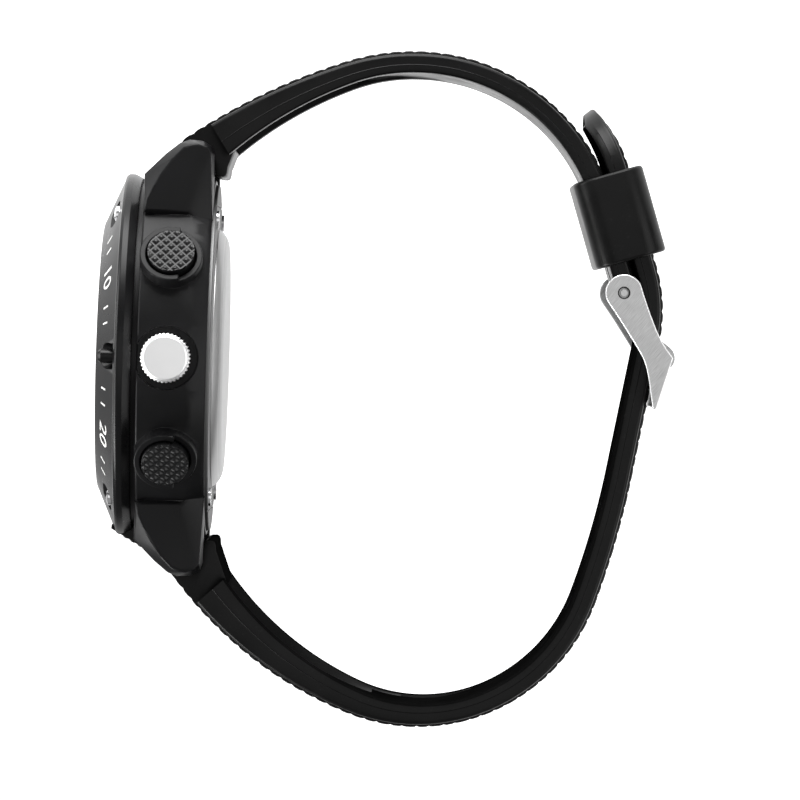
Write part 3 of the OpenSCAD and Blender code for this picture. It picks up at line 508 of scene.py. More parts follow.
def finish_mesh(bm: bmesh.types.BMesh, name: str, angle: float = 32.0) -> bpy.types.Object:
    """Turns a mesh into a smooth-shaded object with creases kept sharp.

    Args:
        bm: The mesh, which is freed.
        name: Name of the object.
        angle: Edges sharper than this, in degrees, stay sharp.

    Returns:
        The object, at the origin.
    """
    bmesh.ops.remove_doubles(bm, verts=bm.verts, dist=TOUCHING)
    bmesh.ops.dissolve_degenerate(bm, edges=bm.edges, dist=TOUCHING)
    for face in bm.faces:
        face.smooth = True
    obj = linked(bm, name)
    obj.data.set_sharp_from_angle(angle=math.radians(angle))
    return obj


def evaluated(obj: bpy.types.Object) -> bmesh.types.BMesh:
    """Copies the mesh that an object's text or modifiers make.

    Args:
        obj: The object.

    Returns:
        The new mesh.
    """
    bpy.context.view_layer.update()
    shape = obj.evaluated_get(bpy.context.evaluated_depsgraph_get())
    out = bmesh.new()
    out.from_mesh(shape.to_mesh())
    shape.to_mesh_clear()
    return out


def pour(source: bmesh.types.BMesh, target: bmesh.types.BMesh) -> None:
    """Adds one mesh to another.

    Args:
        source: The mesh to add, which is freed.
        target: The mesh that takes it.
    """
    mesh = bpy.data.meshes.new("poured")
    source.to_mesh(mesh)
    source.free()
    target.from_mesh(mesh)
    bpy.data.meshes.remove(mesh)


def add_loft(bm: bmesh.types.BMesh, sections: Sequence[Sequence[Vector]], capped: bool = True) -> None:
    """Adds a grid that is bent into a tube through closed sections.

    Args:
        bm: The mesh to add to.
        sections: Points of each section, the first repeated at the end.
        capped: Both open ends are filled.
    """
    around, along = len(sections[0]) - 1, len(sections) - 1
    made = bmesh.ops.create_grid(bm, x_segments=around, y_segments=along, size=0.5)["verts"]
    for v in made:
        v.co = sections[round((v.co.y + 0.5) * along)][round((v.co.x + 0.5) * around)]
    bmesh.ops.remove_doubles(bm, verts=made, dist=TOUCHING)
    if capped:
        rims = [e for v in made if v.is_valid for e in v.link_edges if e.is_boundary]
        if rims:
            bmesh.ops.holes_fill(bm, edges=list(dict.fromkeys(rims)), sides=0)


def add_prism(
    bm: bmesh.types.BMesh, outline: Sequence[Point], z0: float, z1: float, bevel: float = 0.0
) -> None:
    """Adds an outline in X and Y, extruded along Z, with its rims bevelled.

    Args:
        bm: The mesh to add to.
        outline: Its points.
        z0: Lower end.
        z1: Upper end.
        bevel: Width of the bevel.
    """
    base = bm.faces.new([bm.verts.new((x * MM, y * MM, z0 * MM)) for x, y in outline])
    moved = bmesh.ops.extrude_face_region(bm, geom=[base], use_keep_orig=True)["geom"]
    lifted = [g for g in moved if isinstance(g, bmesh.types.BMVert)]
    bmesh.ops.translate(bm, verts=lifted, vec=(0, 0, (z1 - z0) * MM))
    top = next(g for g in moved if isinstance(g, bmesh.types.BMFace))
    if bevel > 0:
        rims = list(dict.fromkeys(e for f in (base, top) for e in f.edges))
        bmesh.ops.bevel(
            bm, geom=rims, offset=bevel * MM, affect="EDGES", segments=2,
            profile=0.5, material=-1, clamp_overlap=True,
        )


def add_turned(bm: bmesh.types.BMesh, profile: Sequence[Point], where: Matrix, steps: int) -> None:
    """Spins a profile of (radius, height) points round its axis.

    Args:
        bm: The mesh to add to.
        profile: The points, from one end of the axis or closed on itself.
        where: Places the local Z axis.
        steps: Faces round the axis.
    """
    line = [bm.verts.new((r * MM, 0, h * MM)) for r, h in profile]
    edges = [bm.edges.new(pair) for pair in zip(line, line[1:])]
    spun = bmesh.ops.spin(
        bm, geom=line + edges, cent=(0, 0, 0), axis=(0, 0, 1), angle=2 * math.pi,
        steps=steps, use_merge=True, use_duplicate=False,
    )
    made = {g for g in spun["geom_last"] if isinstance(g, bmesh.types.BMVert)} | set(line)
    stack = list(made)
    while stack:
        for e in stack.pop().link_edges:
            for v in e.verts:
                if v not in made:
                    made.add(v)
                    stack.append(v)
    bmesh.ops.transform(bm, matrix=where, verts=[v for v in made if v.is_valid])


def turned(profile: Sequence[Point], steps: int = 180) -> bmesh.types.BMesh:
    """Makes a solid turned round the dial's axis.

    Args:
        profile: Its (radius, height) points.
        steps: Faces round the axis.

    Returns:
        The new mesh.
    """
    bm = bmesh.new()
    add_turned(bm, profile, HEAD, steps)
    return bm


def arc(centre: Point, r: float, a0: float, a1: float, steps: int) -> List[Point]:
    """Draws an arc, both ends included.

    Args:
        centre: Its centre.
        r: Its radius.
        a0: First angle in degrees.
        a1: Last angle in degrees.
        steps: Steps between them.

    Returns:
        The points.
    """
    angles = [math.radians(a0 + (a1 - a0) * i / steps) for i in range(steps + 1)]
    return [(centre[0] + r * math.cos(a), centre[1] + r * math.sin(a)) for a in angles]


def circle(centre: Point, r: float, points: int) -> List[Point]:
    """Draws a circle as evenly spaced points."""
    return arc(centre, r, 0, 360 - 360 / points, points - 1)


def stadium(width: float, length: float, steps: int = 16) -> List[Point]:
    """Draws a slot along Y with round ends, centred on the origin.

    Args:
        width: Its width.
        length: Its whole length.
        steps: Steps of each round end.

    Returns:
        The outline.
    """
    r, off = width / 2, (length - width) / 2
    return arc((0, off), r, 0, 180, steps) + arc((0, -off), r, 180, 360, steps)


def eased(
    points: Sequence[Point], corners: Sequence[int], rounds: int = 2, cut: float = 0.25
) -> List[Point]:
    """Rounds a closed outline by cutting its corners, but for the corners named.

    Args:
        points: The outline.
        corners: Indices of the points that stay sharp.
        rounds: How often each corner is cut.
        cut: Share of a side that is cut off at each end.

    Returns:
        The smoother outline.
    """
    line = [(p, i in corners) for i, p in enumerate(points)]
    for _ in range(rounds):
        out = []
        for (p, keep), (q, _hold) in zip(line, line[1:] + line[:1]):
            if keep:
                out.append((p, True))
            for near, far in ((1 - cut, cut), (cut, 1 - cut)):
                out.append(((p[0] * near + q[0] * far, p[1] * near + q[1] * far), False))
        line = out
    return [p for p, _ in line]


def filleted(
    profile: Sequence[Point], r: float, steps: int = 3, most: float = 0.45
) -> List[Point]:
    """Rounds the inner corners of an open or closed profile.

    Args:
        profile: The points; the first one is repeated at the end if it is closed.
        r: Length cut off each side of a corner.
        steps: Steps of each rounding.
        most: Largest share of a side that is cut off.

    Returns:
        The rounded profile.
    """
    out = [profile[0]]
    for a, b, c in zip(profile, profile[1:], profile[2:]):
        la, lc = math.dist(a, b), math.dist(b, c)
        ka, kc = min(r, la * most) / la, min(r, lc * most) / lc
        p = (b[0] + (a[0] - b[0]) * ka, b[1] + (a[1] - b[1]) * ka)
        q = (b[0] + (c[0] - b[0]) * kc, b[1] + (c[1] - b[1]) * kc)
        for i in range(steps + 1):
            t = i / steps
            w = ((1 - t) ** 2, 2 * t * (1 - t), t * t)
            out.append(tuple(w[0] * p[n] + w[1] * b[n] + w[2] * q[n] for n in (0, 1)))
    return out + [profile[-1]]


def block(outline: Sequence[Point], z0: float, z1: float, where: Matrix = HERE) -> bmesh.types.BMesh:
    """Makes a prism in a mesh of its own.

    Args:
        outline: Its points in X and Y.
        z0: Lower end.
        z1: Upper end.
        where: Places it.

    Returns:
        The new mesh.
    """
    bm = bmesh.new()
    add_prism(bm, outline, z0, z1)
    bmesh.ops.transform(bm, matrix=where, verts=bm.verts)
    bmesh.ops.recalc_face_normals(bm, faces=bm.faces)
    return bm


def combined(
    base: bmesh.types.BMesh, added: Sequence[bmesh.types.BMesh], cut: Sequence[bmesh.types.BMesh]
) -> bmesh.types.BMesh:
    """Joins solids into a base and cuts others out of it.

    Args:
        base: The closed mesh to work on, which is freed.
        added: Closed meshes to join, which are freed.
        cut: Closed meshes to cut away, which are freed.

    Returns:
        The new mesh.
    """
    body = linked(base, "solid")
    helpers = []
    for operation, solids in (("UNION", added), ("DIFFERENCE", cut)):
        for solid in solids:
            helpers.append(linked(solid, "solid"))
            step = body.modifiers.new("step", "BOOLEAN")
            step.operation, step.solver, step.object = operation, "EXACT", helpers[-1]
    out = evaluated(body)
    for obj in [body] + helpers:
        mesh = obj.data
        bpy.data.objects.remove(obj)
        bpy.data.meshes.remove(mesh)
    bmesh.ops.remove_doubles(out, verts=out.verts, dist=SOLID_MERGE)
    bmesh.ops.dissolve_degenerate(out, edges=out.edges, dist=SOLID_MERGE)
    return out


def weighed(obj: bpy.types.Object, weight: int = 80) -> bpy.types.Object:
    """Shades a hard piece by its large faces, so flats stay flat beside rounded edges.

    Args:
        obj: The piece.
        weight: How much the large faces count.

    Returns:
        The piece.
    """
    shade = obj.modifiers.new("weighted", "WEIGHTED_NORMAL")
    shade.keep_sharp = True
    shade.weight = weight
    return obj


def round_edges(
    bm: bmesh.types.BMesh, width: float, angle: float, segments: int, index: Optional[int] = None
) -> None:
    """Bevels the edges of a mesh that are sharper than an angle.

    Args:
        bm: The mesh.
        width: Width of the bevel.
        angle: Limit in degrees.
        segments: Steps of the bevel.
        index: Material index for the bevel's faces.
    """
    limit = math.radians(angle)
    sharp = [e for e in bm.edges if e.is_manifold and e.calc_face_angle(0.0) > limit]
    made = bmesh.ops.bevel(
        bm, geom=sharp, offset=width * MM, affect="EDGES", segments=segments, profile=0.5,
        material=-1, clamp_overlap=False,
    )
    if index is not None:
        for face in made["faces"]:
            face.material_index = index


# Straps


@dataclass
class Route:
    """The outer outline of a strap half, as stretches of turning line.

    Args:
        start: First point.
        heading: First heading in degrees.
        run: Length and turn of each stretch.
        side: 1 for the upper half, -1 for the lower.
    """

    start: Point
    heading: float
    run: List[Point]
    side: int

    @property
    def length(self) -> float:
        """Length of the whole route."""
        return sum(stretch for stretch, _ in self.run)

    def at(self, s: float) -> Triple:
        """Finds a place on the route.

        Args:
            s: Length from the start; past the end, the last stretch runs on.

        Returns:
            X, Y and the heading in degrees.
        """
        x, y, heading = self.start[0], self.start[1], self.heading
        for i, (stretch, turn) in enumerate(self.run):
            last = i == len(self.run) - 1
            gone = s if last else min(s, stretch)
            after = heading + turn * gone / stretch
            a, b = math.radians(heading), math.radians(after)
            if turn == 0:
                x, y = x + gone * math.cos(a), y + gone * math.sin(a)
            else:
                r = stretch * 180 / (turn * math.pi)
                x += r * (math.sin(b) - math.sin(a))
                y += r * (math.cos(a) - math.cos(b))
            heading = after
            if s <= stretch or last:
                break
            s -= stretch
        return x, y, heading

    def under(self, s: float, depth: float) -> Point:
        """Finds a place under the outline.

        Args:
            s: Length from the start.
            depth: Depth under the outline.

        Returns:
            The point.
        """
        x, y, a = self.at(s)
        r = math.radians(a)
        return (x + self.side * depth * math.sin(r), y - self.side * depth * math.cos(r))


@dataclass
class StrapSizes:
    """Sizes of a strap half.

    Args:
        thickness: Thickness beyond the swell at the case.
        relief: Depth of the panel under the rails.
        rail: Width of each rail.
        rib: Distance from one groove to the next.
        groove: Depth of a groove.
        shallow: Share of that depth in every second groove of the middle.
        vee: Half width of a groove as a share of the distance.
        deep_start: Length at the case with all grooves deep.
        deep_end: The same at the far end.
        blend: Length over which the grooves change.
        root_width: Width between the horns.
        shoulder: Length at which the root becomes the full width.
        corner: Radius of the outer corners.
        channel: Depth of the underside's channel.
        channel_wall: Width of the wall beside it.
        channel_whole: Length up to which it has its whole depth.
        channel_fade: Length from which its fading is counted.
        seam: Height of the side's seam, as a share of the thickness under the relief.
        foot: Radius of the lower corners.
        edge: Bevel of the root.
        widest: Half width where the straps are widest.
        widest_at: Place of that along X.
        narrowing: How much the half width has fallen at the far end.
        taper: Distance along X over which it falls.
    """

    thickness: float = 2.6
    relief: float = 0.4
    rail: float = 1.7
    rib: float = 1.55
    groove: float = 0.14
    shallow: float = 0.25
    vee: float = 0.26
    deep_start: float = 22.0
    deep_end: float = 30.0
    blend: float = 12.0
    root_width: float = 19.96
    shoulder: float = 3.9
    corner: float = 0.45
    channel: float = 1.7
    channel_wall: float = 2.6
    channel_whole: float = 5.0
    channel_fade: float = 8.0
    seam: float = 0.58
    foot: float = 0.4
    edge: float = 0.12
    widest: float = 12.3
    widest_at: float = -3.0
    narrowing: float = 3.4
    taper: float = 49.0

    def half_width(self, x: float) -> float:
        """Half of the straps' width at a place along X."""
        return self.widest - self.narrowing * (x - self.widest_at) / self.taper


@dataclass
class StrapHalf:
    """One moulded strap half, with its ribbed panel, rails and channel.

    Args:
        name: Name of the piece.
        node: CAD node that it replaces.
        route: Its outer outline.
        swell: Extra thickness at the case and the length it fades over.
        channel_end: Length at which the channel has faded out.
        sizes: Shared sizes.
        underside: Finish of the faces towards the wrist.
        inward_limit: Cosine of the slant up to which a face is one of them.
        crease: Edges sharper than this, in degrees, stay sharp.
        corner_turns: Turns of the outer corner's points in radians.
        foot_turns: The same for the lower corner.
        root_foot: Outline of the root towards the case, in X and Y.
    """

    name: str
    node: str
    route: Route
    swell: Point
    channel_end: float
    sizes: StrapSizes = field(default_factory=StrapSizes)
    underside: ClassVar[Finish] = GLOSS_RUBBER
    inward_limit: ClassVar[float] = 0.55
    crease: ClassVar[float] = 28
    corner_turns: ClassVar[Sequence[float]] = (0.39, 0.79, 1.18, 1.57)
    foot_turns: ClassVar[Sequence[float]] = (0.5, 1.05, 1.57)
    root_foot: ClassVar[Sequence[Point]] = (
        (0.15, 23.3), (-0.05, 22.7), (-0.22, 22.3), (-0.3, 21.6), (-0.42, 21.25), (-0.7, 21.1),
        (-1.3, 21.12), (-1.6, 21.25), (-1.7, 21.7), (-1.75, 22.15), (-5.3, 22.15), (-5.65, 22.4),
        (-6.1, 24.3),
    )

    def thickness(self, s: float) -> float:
        """Thickness at a length from the case."""
        extra, span = self.swell
        return self.sizes.thickness + (extra * (1 - s / span) ** 2 if s < span else 0)

    def groove(self, s: float) -> float:
        """Finds the depth of the ribbing.

        Args:
            s: Length from the case.

        Returns:
            The depth.
        """
        k = self.sizes
        step, share = divmod(s / k.rib, 1.0)
        inside = min(s - k.deep_start, self.route.length - k.deep_end - s)
        ends = min(1.0, max(0.0, 1 - inside / k.blend))
        deep = k.groove * (1.0 if step % 2 == 0 else k.shallow + (1 - k.shallow) * ends)
        return deep * max(0.0, 1 - min(share, 1 - share) / k.vee)

    def section(self, s: float, inner: float = 0.0) -> List[Point]:
        """Half section as (z, depth) points from the panel's middle to the underside's.

        Args:
            s: Length from the case.
            inner: Half width of a gap left in the middle.

        Returns:
            The points.
        """
        k = self.sizes
        x = self.route.at(s)[0]
        hw, t = k.half_width(x), self.thickness(s)
        pw = min(hw - k.rail, k.root_width / 2)
        g = self.groove(s)
        fade = max(0.0, (self.channel_end - s) / (self.channel_end - k.channel_fade))
        cd = k.channel * min(1.0, fade) if s > k.channel_whole else k.channel
        wall = hw - k.channel_wall
        line, c = pw * 0.3, k.corner
        top = [
            (inner, g), (line - 0.3, g), (line - 0.12, g + 0.12), (line + 0.12, g + 0.12),
            (line + 0.3, g), (pw * 0.6, g), (pw - 0.25, g), (pw - 0.06, g * 0.7 + 0.08),
            (pw, g * 0.5 + 0.2), (pw + 0.02, k.relief - 0.03), (pw + 0.1, k.relief),
        ]
        rail = [(hw - c, k.relief)] + [
            (hw - c + c * math.sin(a), k.relief + c - c * math.cos(a)) for a in self.corner_turns
        ]
        seam, f = k.relief + k.seam * (t - k.relief), k.foot
        side = [(hw, seam - 0.05), (hw + 0.03, seam), (hw - 0.02, seam + 0.05), (hw - 0.03, t - f)]
        foot = [
            (hw - 0.03 - f * (1 - math.cos(a)), t - f + f * math.sin(a)) for a in self.foot_turns
        ]
        under = [
            (wall + 0.35, t), (wall + 0.1, t - 0.05), (wall, t - min(0.3, cd)),
            (wall - 0.25, t - max(0.0, cd - 0.12)), (wall - 0.6, t - cd),
            (max(inner + 0.01, wall * 0.5), t - cd), (inner, t - cd),
        ]
        return top + rail + side + foot + under

    def ring(self, s: float, inner: float = 0.0, sign: int = 0) -> List[Point]:
        """Closed section as (z, depth) points.

        Args:
            s: Length from the case.
            inner: Half width of a gap left in the middle.
            sign: 0 for the whole section, or the side to draw.

        Returns:
            The points, the first repeated at the end.
        """
        half = self.section(s, inner)
        if sign:
            return [(sign * z, d) for z, d in half + half[:1]]
        return half + [(-z, d) for z, d in reversed(half)] + half[:1]

    def skin(
        self,
        bm: bmesh.types.BMesh,
        stations: Sequence[float],
        sections: Sequence[Sequence[Point]],
        capped: bool = True,
    ) -> None:
        """Lofts closed sections that stand at lengths of the route.

        Args:
            bm: The mesh to add to.
            stations: The lengths.
            sections: The section at each.
            capped: Both open ends are filled.
        """
        placed = []
        for s, ring in zip(stations, sections):
            spots = [(*self.route.under(s, depth), z) for z, depth in ring]
            placed.append([Vector((x * MM, y * MM, z * MM)) for x, y, z in spots])
        add_loft(bm, placed, capped)

    def add_run(
        self,
        bm: bmesh.types.BMesh,
        s0: float,
        s1: float,
        rows: int,
        gap: Optional[Callable[[float], float]] = None,
        capped: bool = True,
    ) -> None:
        """Adds the run over a stretch, or its two sides with a gap between them.

        Args:
            bm: The mesh to add to.
            s0: Start of the stretch.
            s1: End of the stretch.
            rows: Faces along it.
            gap: Gives the gap's half width at a length.
            capped: Both open ends are filled.
        """
        stations = [s0 + (s1 - s0) * i / rows for i in range(rows + 1)]
        for sign in (1, -1) if gap else (0,):
            rounds = [self.ring(s, gap(s) if gap else 0.0, sign) for s in stations]
            self.skin(bm, stations, rounds, capped)

    def add_root(self, bm: bmesh.types.BMesh) -> None:
        """Adds the strap's end between the horns.

        Args:
            bm: The mesh to add to.
        """
        k, side = self.sizes, self.route.side
        outline = []
        s = 0.3
        while s < k.shoulder + 0.8:
            outline.append(self.route.under(s, self.groove(s)))
            s += k.rib / 6
        outline.append(self.route.under(k.shoulder + 0.8, self.thickness(k.shoulder) - 0.2))
        outline += [(x, side * y) for x, y in self.root_foot]
        add_prism(bm, outline, -k.root_width / 2, k.root_width / 2, k.edge)

    def build(self) -> bpy.types.Object:
        """Builds the half.

        Returns:
            The piece.
        """
        bm = bmesh.new()
        self.add_root(bm)
        self.fill(bm)
        obj = finish_mesh(bm, self.name, self.crease)
        RUBBER.give(obj)
        obj.data.materials.append(self.underside.material())
        for face in obj.data.polygons:
            inward = Vector((LOOP_MIDDLE[0] * MM, LOOP_MIDDLE[1] * MM, face.center.z)) - face.center
            if face.normal.dot(inward.normalized()) > self.inward_limit:
                face.material_index = 1
        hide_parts(self.node)
        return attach(obj, "head")

    def fill(self, bm: bmesh.types.BMesh) -> None:
        """Adds the forms beyond the root."""
        raise NotImplementedError


@dataclass
class UpperStrap(StrapHalf):
    """The buckle-side half, ending in a barrel round the buckle's bar.

    Args:
        split: Length of the barrel's slot from the far end.
        tongue_room: Half width of that slot.
        rows: Faces along the run, and along the slot.
    """

    split: float = 3.6
    tongue_room: float = 1.25
    rows: Tuple[int, int] = (420, 24)

    def fill(self, bm: bmesh.types.BMesh) -> None:
        """Adds the run and the two halves of the barrel.

        Args:
            bm: The mesh to add to.
        """
        end, room = self.route.length, self.tongue_room
        split = end - self.split
        self.add_run(bm, self.sizes.shoulder, split, self.rows[0])
        self.add_run(bm, split, end - 0.05, self.rows[1], lambda _s: room)
        width = self.sizes.half_width(PIVOT[0]) - 0.03 - room
        barrel = [
            (0.9, 0), (1.37, 0), (1.47, 0.1), (1.47, width - 0.3), (1.35, width), (0.9, width), (0.9, 0)
        ]
        for sign in (1, -1):
            where = Matrix.Translation((PIVOT[0] * MM, PIVOT[1] * MM, sign * room * MM))
            if sign < 0:
                where = where @ Matrix.Rotation(math.pi, 4, "X")
            add_turned(bm, barrel, where, 48)


@dataclass(frozen=True)
class Gap:
    """A slot with round ends through the strap's middle.

    Args:
        middle: Length at its centre.
        width: Width across the strap.
        length: Length along the strap.
    """

    middle: float
    width: float
    length: float

    def half(self, s: float) -> float:
        """Finds half the width of the slot, which never closes quite.

        Args:
            s: Length along the strap.

        Returns:
            The half width.
        """
        r = self.width / 2
        beyond = abs(s - self.middle) - (self.length / 2 - r)
        return max(r if beyond <= 0 else math.sqrt(max(0.0, r * r - beyond * beyond)), 1e-4)


@dataclass
class LowerStrap(StrapHalf):
    """The holed tail half, with its ribbed nose at the bezel.

    Args:
        holes: Number of free holes.
        pitch: Distance from one to the next.
        hole: Width and length of each.
        tongue_at: Length of the place that the first hole is counted from.
        tongue_gap: The slot that the buckle's prong passes.
        tip: Length of the rounded tip.
        fade: Length over which the panel rises to the rails.
        slant: Length of the underside's bevel and the depth it starts from.
        blunt: Radius of the tip's upper edge.
        nose_width: Width of the nose.
        nose: Its outline in X and Y.
        nose_bumps: Number of ribs on it, less one.
        bump: Radius of a rib and how far its centre lies inside.
        bump_reach: Share of the nose's length that the ribs take up.
        bump_inset: How far they end inside the nose's sides.
        head: Profile of the case and the bezel, which the nose is trimmed to.
    """

    holes: int = 6
    pitch: float = 6.5
    hole: Point = (2.4, 3.0)
    tongue_at: float = 92.8
    tongue_gap: Gap = Gap(95.9, 2.5, 10.6)
    tip: float = 9.5
    fade: float = 5.5
    slant: Point = (1.4, 1.7)
    blunt: float = 0.35
    nose_width: float = 9.0
    nose: Sequence[Point] = (
        (-6.8, -23.6), (-12.75, -20.25), (-12.7, -19.75), (-11.6, -19.2), (-9.0, -19.4), (-4.6, -23.6)
    )
    nose_bumps: int = 6
    bump: Point = (0.62, 0.49)
    bump_reach: float = 0.86
    bump_inset: float = 0.4
    head: Sequence[Point] = (
        (0, 0), (21.85, 0), (21.85, 9.8), (20.55, 9.85), (20.55, 12.42), (15.5, 14.7), (0, 14.7)
    )
    underside: ClassVar[Finish] = INNER_RUBBER

    def fill(self, bm: bmesh.types.BMesh) -> None:
        """Adds the holed run, the rounded tip and the nose.

        Args:
            bm: The mesh to add to.
        """
        gaps = [Gap(self.tongue_at - i * self.pitch, *self.hole) for i in range(self.holes, 0, -1)]
        gaps.append(self.tongue_gap)
        s = self.sizes.shoulder
        for gap in gaps:
            start, stop = gap.middle - gap.length / 2, gap.middle + gap.length / 2
            self._plain(bm, s, start)
            self.add_run(bm, start, stop, 28 if gap.length < 5 else 64, gap.half, False)
            s = stop
        end = self.route.length
        self._plain(bm, s, end - self.tip)
        self._tip(bm, end - self.tip, end)
        self._nose(bm)

    def _plain(self, bm: bmesh.types.BMesh, s0: float, s1: float) -> None:
        """Adds the run between two slots, six faces to the millimetre."""
        self.add_run(bm, s0, s1, max(2, round((s1 - s0) * 6)), capped=False)

    def _nose(self, bm: bmesh.types.BMesh) -> None:
        """Adds the ribbed nose, trimmed round the case and the bezel.

        Args:
            bm: The mesh to add to.
        """
        half = self.nose_width / 2
        rib = half - self.bump_inset
        foot, top = Vector(self.nose[0]), Vector(self.nose[1])
        inward = Vector((foot.y - top.y, top.x - foot.x)).normalized() * -self.bump[1]
        bumps = []
        for i in range(self.nose_bumps + 1):
            spot = foot.lerp(top, self.bump_reach * i / self.nose_bumps) + inward
            bumps.append(block(circle(spot, self.bump[0], 36), -rib, rib))
        solid = combined(block(self.nose, -half, half), bumps, [turned(self.head, 160)])
        round_edges(solid, 0.04, 40, 1)
        pour(solid, bm)

    def _tip(self, bm: bmesh.types.BMesh, s0: float, s1: float, rows: int = 56) -> None:
        """Adds the tail's end, drawn in to a round tip with a bevelled underside.

        Args:
            bm: The mesh to add to.
            s0: Start of the tip.
            s1: End of the tip.
            rows: Faces along it.
        """
        relief = self.sizes.relief
        half = self.sizes.half_width(self.route.at(s1)[0])
        stations, sections = [], []
        for i in range(rows + 1):
            s = s0 + (s1 - s0) * math.sin(i / rows * math.pi / 2)
            left = s1 - s
            share = math.sqrt(max(0.0, 1 - max(0.0, 1 - left / half) ** 2)) if left < half else 1.0
            rise, thin = min(1.0, left / self.fade), min(1.0, left / self.slant[0])
            blunt = max(0.0, 1 - left / self.blunt)
            top = relief + self.blunt * (1 - math.sqrt(1 - blunt * blunt))
            ring = []
            for z, d in self.ring(s):
                deep = relief - (relief - d) * rise if d < relief else d
                if deep > self.slant[1]:
                    deep = self.slant[1] + (deep - self.slant[1]) * thin
                ring.append((z * max(share, 0.02), max(deep, top) if blunt else deep))
            sections.append(ring)
            stations.append(s)
        self.skin(bm, stations, sections)


@dataclass
class Keeper:
    """The moulded loop that holds the tail down.

    Args:
        length: Length along the strap.
        wall: Thickness of the wall.
        inner: Width and height of the opening.
        corner: Radius of the loop's corners.
        heading: Heading of the strap there in degrees.
        at: Distance from the buckle's pivot.
        rise: Height of the loop's middle over the line through the pivot.
        round: Radius of the wall's edges.
        steps: Steps of each of the loop's corners, and of the wall's.
        crease: Edges sharper than this, in degrees, stay sharp.
    """

    length: float = 10.4
    wall: float = 1.2
    inner: Point = (17.85, 6.0)
    corner: float = 2.2
    heading: float = -72.5
    at: float = 8.6
    rise: float = 1.97
    round: float = 0.42
    steps: Tuple[int, int] = (12, 5)
    crease: float = 40

    def build(self) -> bpy.types.Object:
        """Builds the loop: a rounded wall section carried round a rounded path.

        Returns:
            The piece.
        """
        w, t = self.inner[0] / 2 + self.wall / 2, self.inner[1] / 2 + self.wall / 2
        path = self._path(w, t, self.corner, self.steps[0])
        wall = self._path(self.length / 2, self.wall / 2, self.round, self.steps[1])
        a = math.radians(self.heading)
        along = Vector((math.cos(a), math.sin(a), 0))
        out = Vector((-math.sin(a), math.cos(a), 0))
        centre = Vector((PIVOT[0], PIVOT[1], 0)) - along * self.at + out * self.rise
        sections = [
            [(centre + along * run + out * (o + no * d) + Vector((0, 0, z + nz * d))) * MM
             for (z, o), (nz, no) in path]
            for (run, d), _ in wall
        ]
        bm = bmesh.new()
        add_loft(bm, sections, False)
        obj = finish_mesh(bm, "keeper_loop", self.crease)
        RUBBER.give(obj)
        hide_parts("keeper")
        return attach(obj, "keeper")

    @staticmethod
    def _path(w: float, t: float, r: float, steps: int) -> List[Tuple[Point, Point]]:
        """Draws a closed rounded rectangle.

        Args:
            w: Half its width.
            t: Half its height.
            r: Radius of its corners.
            steps: Steps of each corner.

        Returns:
            Pairs of a point and the direction outwards there.
        """
        r = min(r, w, t)
        out = []
        for k, (right, up) in enumerate(((1, 1), (-1, 1), (-1, -1), (1, -1))):
            for i in range(steps + 1):
                a = math.pi / 2 * (k + i / steps)
                spot = (right * (w - r) + r * math.cos(a), up * (t - r) + r * math.sin(a))
                out.append((spot, (math.cos(a), math.sin(a))))
        return out + out[:1]


# Case, pushers, crown, back and buckle


@dataclass
class Softened:
    """A moulded or stamped piece whose CAD edges are rounded as the real ones are.

    Args:
        node: CAD node that it replaces.
        body: Body that it rides on.
        finish: Its finish.
        width: Width of the rounding.
        segments: Steps of the rounding.
        crease: Edges sharper than this, in degrees, are shaded as creases.
        angle: Edges sharper than this, in degrees, are rounded.
        flat: Faces that meet under this angle, in degrees, become one.
    """

    node: str
    body: str
    finish: Finish
    width: float
    segments: int = 2
    crease: float = 18.0
    angle: float = 24.0
    flat: float = 0.8

    def build(self) -> bpy.types.Object:
        """Builds the piece from the node's own form.

        Returns:
            The piece.
        """
        bm = bmesh.new()
        bm.from_mesh(bpy.data.objects[self.node].data)
        bmesh.ops.remove_doubles(bm, verts=bm.verts, dist=CAD_MERGE)
        bmesh.ops.dissolve_limit(
            bm, angle_limit=math.radians(self.flat), verts=bm.verts, edges=bm.edges
        )
        round_edges(bm, self.width, self.angle, self.segments)
        obj = weighed(finish_mesh(bm, self.node + "_moulded", self.crease))
        self.finish.give(obj)
        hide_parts(self.node)
        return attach(obj, self.body)


